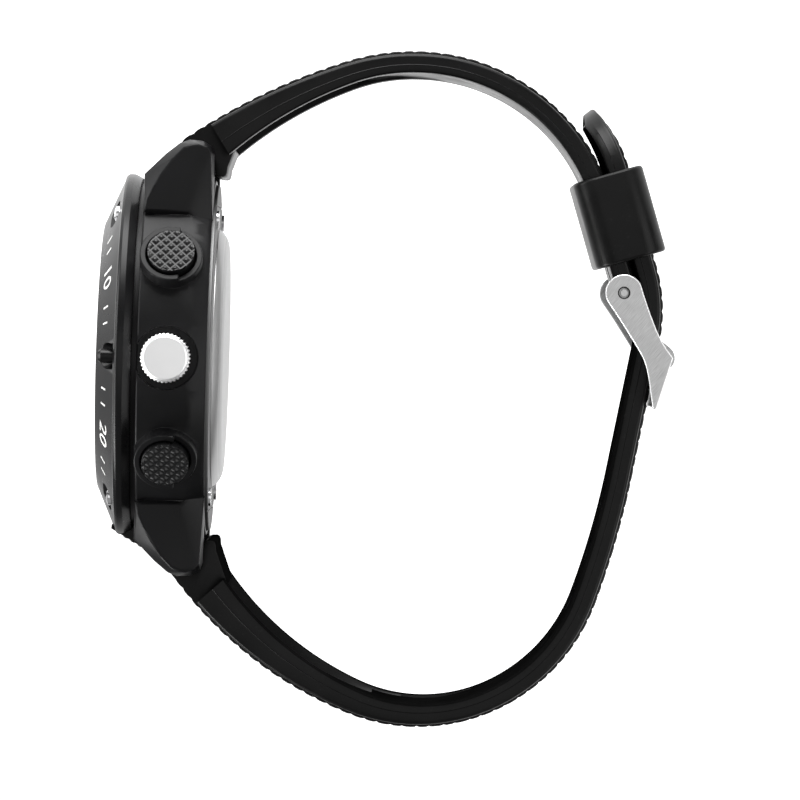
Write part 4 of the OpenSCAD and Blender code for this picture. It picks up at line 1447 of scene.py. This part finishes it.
@dataclass
class Machined:
    """A hard piece put together from turned and sawn solids.

    Args:
        node: CAD node that it replaces.
        body: Body that it rides on.
        finish: Its finish.
        edge: Width of its edges' rounding.
        edge_finish: Finish of the rounded edges, where it differs.
        edge_steps: Steps of the edges' rounding.
        merge: Points nearer than this become one.
        flat: Faces that meet under this angle become one.
        sharp: Edges sharper than this are rounded.
        crease: Edges sharper than this are shaded as creases.
    """

    node: str
    body: str
    finish: Finish
    edge: float
    edge_finish: Optional[Finish] = None
    edge_steps: ClassVar[int] = 3
    merge: ClassVar[float] = 0.012
    flat: ClassVar[float] = 0.2
    sharp: ClassVar[float] = 38
    crease: ClassVar[float] = 34

    def base(self) -> bmesh.types.BMesh:
        """Makes the solid that the others are joined to."""
        raise NotImplementedError

    def added(self) -> List[bmesh.types.BMesh]:
        """Makes the solids that are joined on."""
        return []

    def cut(self) -> List[bmesh.types.BMesh]:
        """Makes the solids that are cut out."""
        return []

    def build(self) -> bpy.types.Object:
        """Builds the piece.

        Returns:
            The piece.
        """
        bm = combined(self.base(), self.added(), self.cut())
        bmesh.ops.remove_doubles(bm, verts=bm.verts, dist=self.merge * MM)
        bmesh.ops.dissolve_limit(
            bm, angle_limit=math.radians(self.flat), verts=bm.verts, edges=bm.edges
        )
        round_edges(bm, self.edge, self.sharp, self.edge_steps, 1 if self.edge_finish else None)
        obj = weighed(finish_mesh(bm, self.node + "_made", self.crease))
        self.finish.give(obj)
        if self.edge_finish:
            obj.data.materials.append(self.edge_finish.material())
        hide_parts(self.node)
        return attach(obj, self.body)


def in_fours(angle: float, radius: float) -> List[Matrix]:
    """Finds four places alike on both sides of 12 and of 6 o'clock.

    Args:
        angle: Degrees from 12 and from 6 o'clock.
        radius: Distance from the dial's axis.

    Returns:
        The matrix of each place.
    """
    out = []
    for a in (angle, -angle, 180 - angle, 180 + angle):
        r = math.radians(a)
        off = Matrix.Translation((radius * MM * math.sin(r), radius * MM * math.cos(r), 0))
        out.append(HEAD @ off @ Matrix.Rotation(-r, 4, "Z"))
    return out


@dataclass
class Bezel(Machined):
    """The bezel: a turned cone with sunk screw seats, stud notches and a gate for the nose.

    Args:
        outer: Outer radius.
        brow: Width of the rounded rim outside the slope.
        rim: Radius of the slope's inner end.
        bore: Inner radius.
        top: Height of the slope's inner end.
        foot: Height of the slope's outer end.
        fillet: Length that the rounding takes off each side of a corner.
        seat: Width and length of a screw seat.
        seats: Degrees from 12 and 6 o'clock, and the radius, that the seats stand at.
        notch: Width and length of a stud notch.
        notch_at: Radius that the notches stand at.
        gate: Outline of the nose's gate.
    """

    outer: float = 21.35
    brow: float = 0.6
    rim: float = 15.5
    bore: float = 15.1
    top: float = 14.6
    foot: float = 12.3
    fillet: float = 0.09
    seat: Point = (2.3, 4.0)
    seats: Point = (30, 18.9)
    notch: Point = (3.0, 5.2)
    notch_at: float = 19.7
    gate: Sequence[Point] = ((-4.7, -22.4), (4.7, -22.4), (4.7, -20.5), (-4.7, -20.5))

    def base(self) -> bmesh.types.BMesh:
        """Turns the bezel's section.

        Returns:
            The new mesh.
        """
        o = self.outer
        ring = [
            (self.bore, 12.0), (20.4, 12.0), (20.4, 10.3), (o - 0.5, 10.3), (o, 11.25),
            (o, self.foot - 0.4), (o - 0.2, self.foot - 0.1), (o - self.brow, self.foot),
            (self.rim, self.top), (self.rim - 0.2, self.top), (self.bore, self.top - 0.3),
            (self.bore, 12.0),
        ]
        return turned(filleted(ring, self.fillet))

    def cut(self) -> List[bmesh.types.BMesh]:
        """Makes the seats, the notches and the gate.

        Returns:
            The new meshes.
        """
        across = Matrix.Rotation(math.pi / 2, 4, "Z")
        seat, notch = stadium(*self.seat), stadium(*self.notch)
        tools = [block(seat, 12.4, 15.4, place @ across) for place in in_fours(*self.seats)]
        for side in (1, -1):
            place = HEAD @ Matrix.Translation((side * self.notch_at * MM, 0, 0)) @ across
            tools.append(block(notch, 12.4, 16.4, place))
        return tools + [block(self.gate, 9.0, 19.0, HEAD)]


@dataclass
class Caseback(Machined):
    """The steel back: a raised centre with a round shoulder and a flange with seams.

    Args:
        centre: Radius of the raised centre.
        shoulder: Radius of its rounded edge.
        sweep: Degrees that the rounded edge turns.
        flange: Radius of the flange.
        seat: Radius and depth of a screw seat.
        seats: Degrees from 12 and 6 o'clock, and the radius, that the seats stand at.
        seam_at: Distance of each seam from the middle.
        seam: Half length and half width of a seam.
        dull_from: Width of the flange's ring that keeps the centre's steel; beyond it the flange is
            painted darker as shade.
    """

    centre: float = 15.1
    shoulder: float = 2.65
    sweep: float = 56
    flange: float = 20.3
    seat: Point = (1.15, 1.75)
    seats: Point = (32, 18.95)
    seam_at: float = 17.7
    seam: Point = (12, 0.06)
    dull_from: float = 0.5

    def base(self) -> bmesh.types.BMesh:
        """Turns the back's section.

        Returns:
            The new mesh.
        """
        inner = self.centre - self.shoulder * math.sin(math.radians(self.sweep))
        curve = [
            (inner + self.shoulder * math.sin(a), self.shoulder * (1 - math.cos(a)))
            for a in (math.radians(self.sweep * i / 10) for i in range(11))
        ]
        rest = [
            curve[-1], (self.centre, 1.3), (self.flange - 0.1, 1.3), (self.flange, 1.4),
            (self.flange, 2.07), (0, 2.07),
        ]
        return turned([(0, 0)] + curve + filleted(rest, 0.05)[1:])

    def cut(self) -> List[bmesh.types.BMesh]:
        """Makes the screw seats and the two fine seams.

        Returns:
            The new meshes.
        """
        round_seat = circle((0, 0), self.seat[0], 36)
        tools = [block(round_seat, -1.0, self.seat[1], place) for place in in_fours(*self.seats)]
        reach, half = self.seam
        for side in (1, -1):
            y = side * self.seam_at
            line = [(-reach, y - half), (reach, y - half), (reach, y + half), (-reach, y + half)]
            tools.append(block(line, 0.0, 1.42, HEAD))
        return tools

    def build(self) -> bpy.types.Object:
        """Builds the piece and gives its flange a darker, rougher copy of the steel, as painted shade.

        Returns:
            The piece.
        """
        obj = super().build()
        # Painted shade: the flange's faces get the darker copy of the steel.
        obj.data.materials.append(SHADED_FLANGE_STEEL.material())
        for face in obj.data.polygons:
            reach = max(obj.data.vertices[i].co.yz.length for i in face.vertices)
            if reach > (self.centre + self.dull_from) * MM:
                face.material_index = 1
        return obj


def from_pivot(points: Sequence[Point]) -> List[Point]:
    """Moves points given from the buckle's pivot into the part's frame."""
    return [(PIVOT[0] + x, PIVOT[1] + y) for x, y in points]


@dataclass
class BuckleFrame(Machined):
    """The stamped buckle: two arms with round heads and a plate across their ends.

    Args:
        head: Radius of the arms' round heads.
        inside: Distance of each arm from the middle.
        arm: Thickness of an arm.
        hole: Width of the pivot's bore.
        rim: Width of the ring round the bore that is painted black, as painted shade of the gap round
            the bar.
        flank: Outline of an arm from its head, from the pivot.
        plate: Outline of the plate, from the pivot.
    """

    head: float = 2.15
    inside: float = 9.6
    arm: float = 1.2
    hole: float = 1.2
    rim: float = 0.25
    flank: Sequence[Point] = (
        (3.1, -2.4), (4.4, -5.4), (5.9, -7.4), (4.15, -13.3), (3.75, -13.5), (3.5, -12.2),
        (3.05, -9.3), (2.5, -7.55), (1.4, -5.8), (-0.6, -2.8),
    )
    plate: Sequence[Point] = (
        (5.45, -7.3), (5.72, -7.6), (4.08, -13.1), (3.86, -13.3), (3.7, -13.05), (4.7, -7.8)
    )

    def outline(self) -> List[Point]:
        """Draws an arm, with its round head worked in.

        Returns:
            The outline.
        """
        crown = arc((0, 0), self.head, 212, 8, 20)
        edge = len(crown)
        return from_pivot(eased(crown + list(self.flank), (edge + 2, edge + 3, edge + 4)))

    def base(self) -> bmesh.types.BMesh:
        """Makes the near arm."""
        return block(self.outline(), self.inside, self.inside + self.arm)

    def added(self) -> List[bmesh.types.BMesh]:
        """Makes the far arm and the plate."""
        far = block(self.outline(), -self.inside - self.arm, -self.inside)
        return [far, block(from_pivot(self.plate), -self.inside - 0.1, self.inside + 0.1)]

    def cut(self) -> List[bmesh.types.BMesh]:
        """Makes the pivot's bore."""
        return [block(circle(PIVOT, self.hole / 2, 30), -20, 20)]

    def build(self) -> bpy.types.Object:
        """Builds the piece and paints the bore's rim black with the rubber finish, as painted shade.

        Returns:
            The piece.
        """
        obj = super().build()
        # Painted shade: the faces round the bore get the black rubber finish, standing in for the
        # shadow in the gap round the bar.
        obj.data.materials.append(RUBBER.material())
        middle = Vector((PIVOT[0] * MM, PIVOT[1] * MM, 0.0))
        for face in obj.data.polygons:
            reach = max((obj.data.vertices[i].co - middle).xy.length for i in face.vertices)
            if reach < (self.hole / 2 + self.rim) * MM:
                face.material_index = len(obj.data.materials) - 1
        return obj


@dataclass
class BuckleTongue(Machined):
    """The prong with its knuckle round the bar.

    Args:
        width: Width of the prong.
        knuckle: Radius of the knuckle.
        bore: Width of its bore.
        line: Outline of the prong, from the pivot.
    """

    width: float = 1.7
    knuckle: float = 1.35
    bore: float = 1.62
    line: Sequence[Point] = (
        (-1, 0), (0.9, -3.1), (3.2, -5.9), (5.1, -7.02), (5.4, -7.03), (6, -7.25), (5.75, -8.4),
        (6.15, -8.65), (6.65, -7.7), (6.4, -6.6), (5.5, -5.85), (4, -4.8), (2.2, -2.4), (1.2, 0.2),
    )

    def base(self) -> bmesh.types.BMesh:
        """Makes the prong."""
        return block(from_pivot(eased(self.line, (0, 13))), -self.width / 2, self.width / 2)

    def added(self) -> List[bmesh.types.BMesh]:
        """Makes the knuckle."""
        return [block(circle(PIVOT, self.knuckle, 45), -self.width / 2, self.width / 2)]

    def cut(self) -> List[bmesh.types.BMesh]:
        """Makes the bore."""
        return [block(circle(PIVOT, self.bore / 2, 30), -20, 20)]


# Printed numerals and ticks


def add_figure(bm: bmesh.types.BMesh, text: str, size: float, thick: float, bend: Bending) -> None:
    """Adds a plain number to a mesh, bent to its place.

    Args:
        bm: The mesh to add to.
        text: The number.
        size: Size of the figures.
        thick: Thickness of the print.
        bend: Gives the place of a point of the flat figure, in millimetres.
    """
    curve = bpy.data.curves.new("figure", "FONT")
    curve.body = text
    curve.size = size
    curve.extrude = thick / 2
    curve.resolution_u = 4
    curve.align_x, curve.align_y = "CENTER", "CENTER"
    obj = bpy.data.objects.new("figure", curve)
    bpy.context.scene.collection.objects.link(obj)
    flat = evaluated(obj)
    bpy.data.objects.remove(obj)
    bpy.data.curves.remove(curve)
    bmesh.ops.remove_doubles(flat, verts=flat.verts, dist=TEXT_MERGE)
    for v in flat.verts:
        v.co = bend(v.co) * MM
    pour(flat, bm)


def add_tick(bm: bmesh.types.BMesh, size: Point, thick: float, bend: Bending) -> None:
    """Adds a short printed line, bent to its place.

    Args:
        bm: The mesh to add to.
        size: Its width and length.
        thick: Thickness of the print.
        bend: Gives the place of a point of the flat line, in millimetres.
    """
    for v in bmesh.ops.create_cube(bm, size=1.0)["verts"]:
        v.co = bend(Vector((v.co.x * size[0], v.co.y * size[1], v.co.z * thick))) * MM


@dataclass
class BezelPrint:
    """Plain minute numerals and ticks printed on the bezel's slope.

    Args:
        radius: Radius that the figures stand on.
        size: Size of the figures.
        thick: Thickness of the print.
        minutes: The numerals.
        tick: Width and length of a tick.
        beside: Minutes from a numeral at which ticks stand.
        slope: Cosine and sine of the slope's fall.
    """

    radius: float = 18.0
    size: float = 3.1
    thick: float = 0.06
    minutes: Sequence[int] = (10, 20, 40, 50)
    tick: Point = (0.2, 1.3)
    beside: Sequence[int] = (-3, -2, 2, 3)
    slope: Point = (0.916, 0.4)

    def bend(self, minute: float, p: Vector) -> Vector:
        """Bends a flat print onto the slope.

        Args:
            minute: Minute that it stands at.
            p: A point of the flat print.

        Returns:
            The point's place.
        """
        c, s = self.slope
        r = self.radius + p.y * c
        a = math.radians(6 * minute) + p.x / self.radius
        run = Bezel.outer - Bezel.brow - Bezel.rim
        z = Bezel.top - (Bezel.top - Bezel.foot) * (r - Bezel.rim) / run
        r, z = r + p.z * s, z + p.z * c
        return HEAD @ Vector((r * math.sin(a), r * math.cos(a), z))

    def build(self) -> bpy.types.Object:
        """Builds the print as one piece.

        Returns:
            The piece.
        """
        bm = bmesh.new()
        for minute in self.minutes:
            add_figure(bm, str(minute), self.size, self.thick, partial(self.bend, minute))
            for off in self.beside:
                add_tick(bm, self.tick, self.thick, partial(self.bend, minute + off))
        obj = PRINT.give(finish_mesh(bm, "bezel_numerals"))
        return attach(obj, "head")


@dataclass
class DialPrint:
    """Minute track and the counters' scales, printed on the dial.

    Args:
        face: Height of the dial's face.
        sunk: Depth of the counters.
        thick: Thickness of the print.
        track: Radius of the minute track.
        tick: Width and length of its ticks.
        counters: Centre of each counter.
        scale: Radius of a counter's scale.
        marks: Lengths of its long and short ticks.
        figures: Size of its figures and how far inside the scale they stand.
        turns: Its figures, and the degrees that each stands at.
    """

    face: float = 8.6
    sunk: float = 0.12
    thick: float = 0.03
    track: float = 12.5
    tick: Point = (0.09, 0.42)
    counters: Sequence[Point] = ((0.0, -7.0), (-7.0, 0.0))
    scale: float = 3.3
    marks: Point = (0.55, 0.3)
    figures: Point = (1.0, 0.95)
    turns: Sequence[Tuple[str, int]] = (("60", 0), ("15", 90), ("30", 180), ("45", 270))

    @staticmethod
    def bend(spot: Tuple[Point, float, float, float], upright: bool, p: Vector) -> Vector:
        """Places a flat print round a centre on the dial.

        Args:
            spot: The centre, the radius, the turn in degrees and the height.
            upright: The print isn't turned with its place.
            p: A point of the flat print.

        Returns:
            The point's place.
        """
        centre, radius, turn, height = spot
        a = math.radians(turn)
        x, y = centre[0] + radius * math.sin(a), centre[1] + radius * math.cos(a)
        s, c = (0.0, 1.0) if upright else (math.sin(a), math.cos(a))
        return HEAD @ Vector((x + p.x * c + p.y * s, y - p.x * s + p.y * c, height + p.z))

    def build(self) -> bpy.types.Object:
        """Builds the print as one piece.

        Returns:
            The piece.
        """
        bm = bmesh.new()
        for minute in range(60):
            if minute % 5:
                spot = ((0, 0), self.track, 6 * minute, self.face)
                add_tick(bm, self.tick, self.thick, partial(self.bend, spot, False))
        floor = self.face - self.sunk
        size, inside = self.figures
        for centre in self.counters:
            for i in range(12):
                long = self.marks[0] if i % 3 == 0 else self.marks[1]
                spot = (centre, self.scale, 30 * i, floor)
                add_tick(bm, (self.tick[0], long), self.thick, partial(self.bend, spot, False))
            for figure, turn in self.turns:
                spot = (centre, self.scale - inside, turn, floor)
                add_figure(bm, figure, size, self.thick, partial(self.bend, spot, True))
        obj = PRINT.give(finish_mesh(bm, "dial_print"))
        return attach(obj, "head")


# Stage


@dataclass(frozen=True)
class Lamp:
    """An oblong soft light aimed at the watch.

    Args:
        name: Its name.
        at: Its place in metres.
        size: Its width and height in metres.
        power: Its power in watts.
        aim: Place that every light points at, in metres.
    """

    name: str
    at: Triple
    size: Point
    power: float
    aim: ClassVar[Triple] = (0.015, 0, 0)

    def build(self) -> None:
        """Makes the light."""
        data = bpy.data.lights.new(self.name, "AREA")
        data.shape = "RECTANGLE"
        data.size, data.size_y = self.size
        data.energy = self.power
        lamp = bpy.data.objects.new(self.name, data)
        lamp.location = self.at
        aim = Vector(self.aim) - Vector(self.at)
        lamp.rotation_mode = "QUATERNION"
        lamp.rotation_quaternion = aim.to_track_quat("-Z", "Y")
        bpy.context.scene.collection.objects.link(lamp)


@dataclass(frozen=True)
class Paper(Coating):
    """The floor's white paper, which fades off towards the back.

    Args:
        band: Where the fade starts and ends along its slant, in metres.
        shade: Brightness at both ends.
        slant: How much Y counts against X.
        roughness: Its roughness.
    """

    band: Point = (-0.075, -0.012)
    shade: Point = (0.05, 0.7)
    slant: float = 0.9
    roughness: float = 0.9

    def draw(self, net: bpy.types.NodeTree) -> None:
        """Draws paper that is plain white to the camera and shaded in reflections.

        Args:
            net: The node tree.
        """
        parts = add_node(net, "SeparateXYZ", {"Vector": object_place(net)}).outputs
        across = {0: parts["Y"], 1: self.slant, 2: parts["X"]}
        along = add_node(net, "Math", across, operation="MULTIPLY_ADD").outputs["Value"]
        shade = mapped(net, along, self.band, self.shade)
        seen = add_node(net, "LightPath", {}).outputs["Is Camera Ray"]
        glow = add_node(net, "Mix", {"Factor": seen, "A": shade, "B": 1.0}).outputs["Result"]
        fill_inputs(net.nodes["Principled BSDF"], {
            "Roughness": self.roughness,
            "Base Color": shade,
            "Emission Color": (1, 1, 1, 1),
            "Emission Strength": glow,
        })


@dataclass
class Studio:
    """Camera, soft lights, world and a pale floor.

    Args:
        eye: Camera place.
        roll: Turn of the camera in degrees.
        lens: Focal length.
        shift: Shift of the frame in both ways.
        sensor: Width of the film.
        clip: Nearest and farthest distance seen, in metres.
        sky: Strength of the world in reflections and to the camera.
        reach: Half the floor's width in metres.
        lamps: The lights.
    """

    eye: Triple = (20.0, 5.1, 700.0)
    roll: float = 1.7
    lens: float = 267.75
    shift: Point = (0.003, -0.1)
    sensor: float = 36
    clip: Point = (0.01, 10)
    sky: Point = (0.28, 1.0)
    reach: float = 1.5
    lamps: Sequence[Lamp] = (
        Lamp("top", (0.0, 0.65, 0.16), (0.55, 0.55), 9.5),
        Lamp("overhead", (0.05, 0.0, 0.9), (0.5, 0.6), 0.62),
        Lamp("wrist_side", (0.68, -0.1, 0.6), (0.9, 0.5), 3.0),
        Lamp("dial_side", (-0.7, -0.1, 0.14), (1.6, 0.25), 10.0),
        Lamp("foot", (-0.5, -0.55, 0.12), (0.4, 0.24), 3.0),
    )

    def camera(self) -> None:
        """Makes the scene's camera."""
        data = bpy.data.cameras.new("camera")
        data.lens = self.lens
        data.sensor_width = self.sensor
        data.shift_x, data.shift_y = self.shift
        data.clip_start, data.clip_end = self.clip
        cam = bpy.data.objects.new("camera", data)
        cam.location = Vector(self.eye) * MM
        cam.rotation_euler = (0, 0, math.radians(self.roll))
        bpy.context.scene.collection.objects.link(cam)
        bpy.context.scene.camera = cam

    def world(self) -> None:
        """Makes the world, which is dimmer to the watch than to the camera."""
        world = bpy.data.worlds.new("world")
        world.use_nodes = True
        net = world.node_tree
        seen = add_node(net, "LightPath", {}).outputs["Is Camera Ray"]
        shine = add_node(net, "Mix", {"Factor": seen, "A": self.sky[0], "B": self.sky[1]})
        fill_inputs(
            net.nodes["Background"], {"Color": (1, 1, 1, 1), "Strength": shine.outputs["Result"]}
        )
        bpy.context.scene.world = world
        bpy.context.scene.view_settings.view_transform = "Standard"

    def floor(self, height: float) -> None:
        """Makes the floor.

        Args:
            height: Its height in metres.
        """
        bm = bmesh.new()
        bmesh.ops.create_grid(bm, x_segments=2, y_segments=2, size=self.reach)
        bmesh.ops.translate(bm, verts=bm.verts, vec=(0, 0, height))
        floor = finish_mesh(bm, "floor")
        floor.data.materials.append(Paper("floor_paper", "").material())
        floor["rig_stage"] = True

    def build(self, height: float) -> None:
        """Makes camera, lights, world and floor.

        Args:
            height: Height of the floor in metres.
        """
        self.camera()
        for lamp in self.lamps:
            lamp.build()
        self.world()
        self.floor(height)


UPPER = Route((-5.65, 25.19), 36, [(21.3, -17), (11.1, -24.3), (28.1, -67.2), (10.56, 0)], 1)
LOWER = Route(
    (-5.05, -25.55), -52.3,
    [(25.9, 31.7), (35.1, 91.7), (15.6, 8.9), (16, 0), (8.6, 27.5), (12, 0), (8.5, 22)], -1,
)

CAD_FINISHES: Dict[Coating, Sequence[str]] = {
    RESIN: ("chapter_ring",),
    GLOSS_RESIN: ("bezel_studs",),
    POLISHED: (
        "bezel_screws", "hour_markers", "movement_screws", "battery_clip", "caseback_screws",
        "hour_hand", "minute_hand",
    ),
    BRUSHED: (
        "buckle_spring_bar", "lug_spring_bars", "start_stem", "reset_stem", "start_spring",
        "reset_spring", "crown_stem", "setting_clip", "seconds_arbor", "motor_stator", "battery",
    ),
    SEAL: ("crystal_gasket", "caseback_gasket", "pusher_gaskets", "crown_gasket"),
    DIAL: ("dial",),
    PLASTIC: ("movement_holder", "main_plate", "train_bridge"),
    BRASS: ("hour_wheel", "cannon_pinion", "minute_wheel"),
    BOARD: ("circuit_board",),
    COPPER: ("motor_coil",),
    RED: ("seconds_hand", "small_seconds_hand", "counter_hand"),
    CRYSTAL: ("crystal",),
}


def main() -> None:
    """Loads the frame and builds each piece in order."""
    logging.basicConfig(level=logging.INFO, format="%(message)s")
    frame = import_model()
    cad_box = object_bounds()
    for finish, names in CAD_FINISHES.items():
        for name in names:
            finish.give(frame["nodes"][name])
    builders = [
        UpperStrap("strap_upper_half", "strap_upper", UPPER, (2.5, 28), 34),
        LowerStrap("strap_lower_half", "strap_lower", LOWER, (2.4, 44), 46),
        Keeper(),
        Softened("case_middle", "head", RESIN, 0.12),
        Bezel("bezel", "head", GLOSS_RESIN, 0.05),
        Softened("start_button", "start_pusher", BUTTON_RESIN, 0.03, 1),
        Softened("reset_button", "reset_pusher", BUTTON_RESIN, 0.03, 1),
        Softened("crown", "crown", CROWN_STEEL, 0.05, 1, 50),
        Caseback("caseback", "head", BACK_STEEL, 0.03),
        BuckleFrame("buckle_frame", "buckle", BUCKLE_STEEL, 0.13, CROWN_STEEL),
        BuckleTongue("buckle_tongue", "tongue", BUCKLE_STEEL, 0.05),
        BezelPrint(),
        DialPrint(),
    ]
    for builder in builders:
        piece = builder.build()
        log.info("%s: %d faces", piece.name, len(piece.data.polygons))
    Studio().build(cad_box[0].z)


if __name__ == "__main__":
    main()
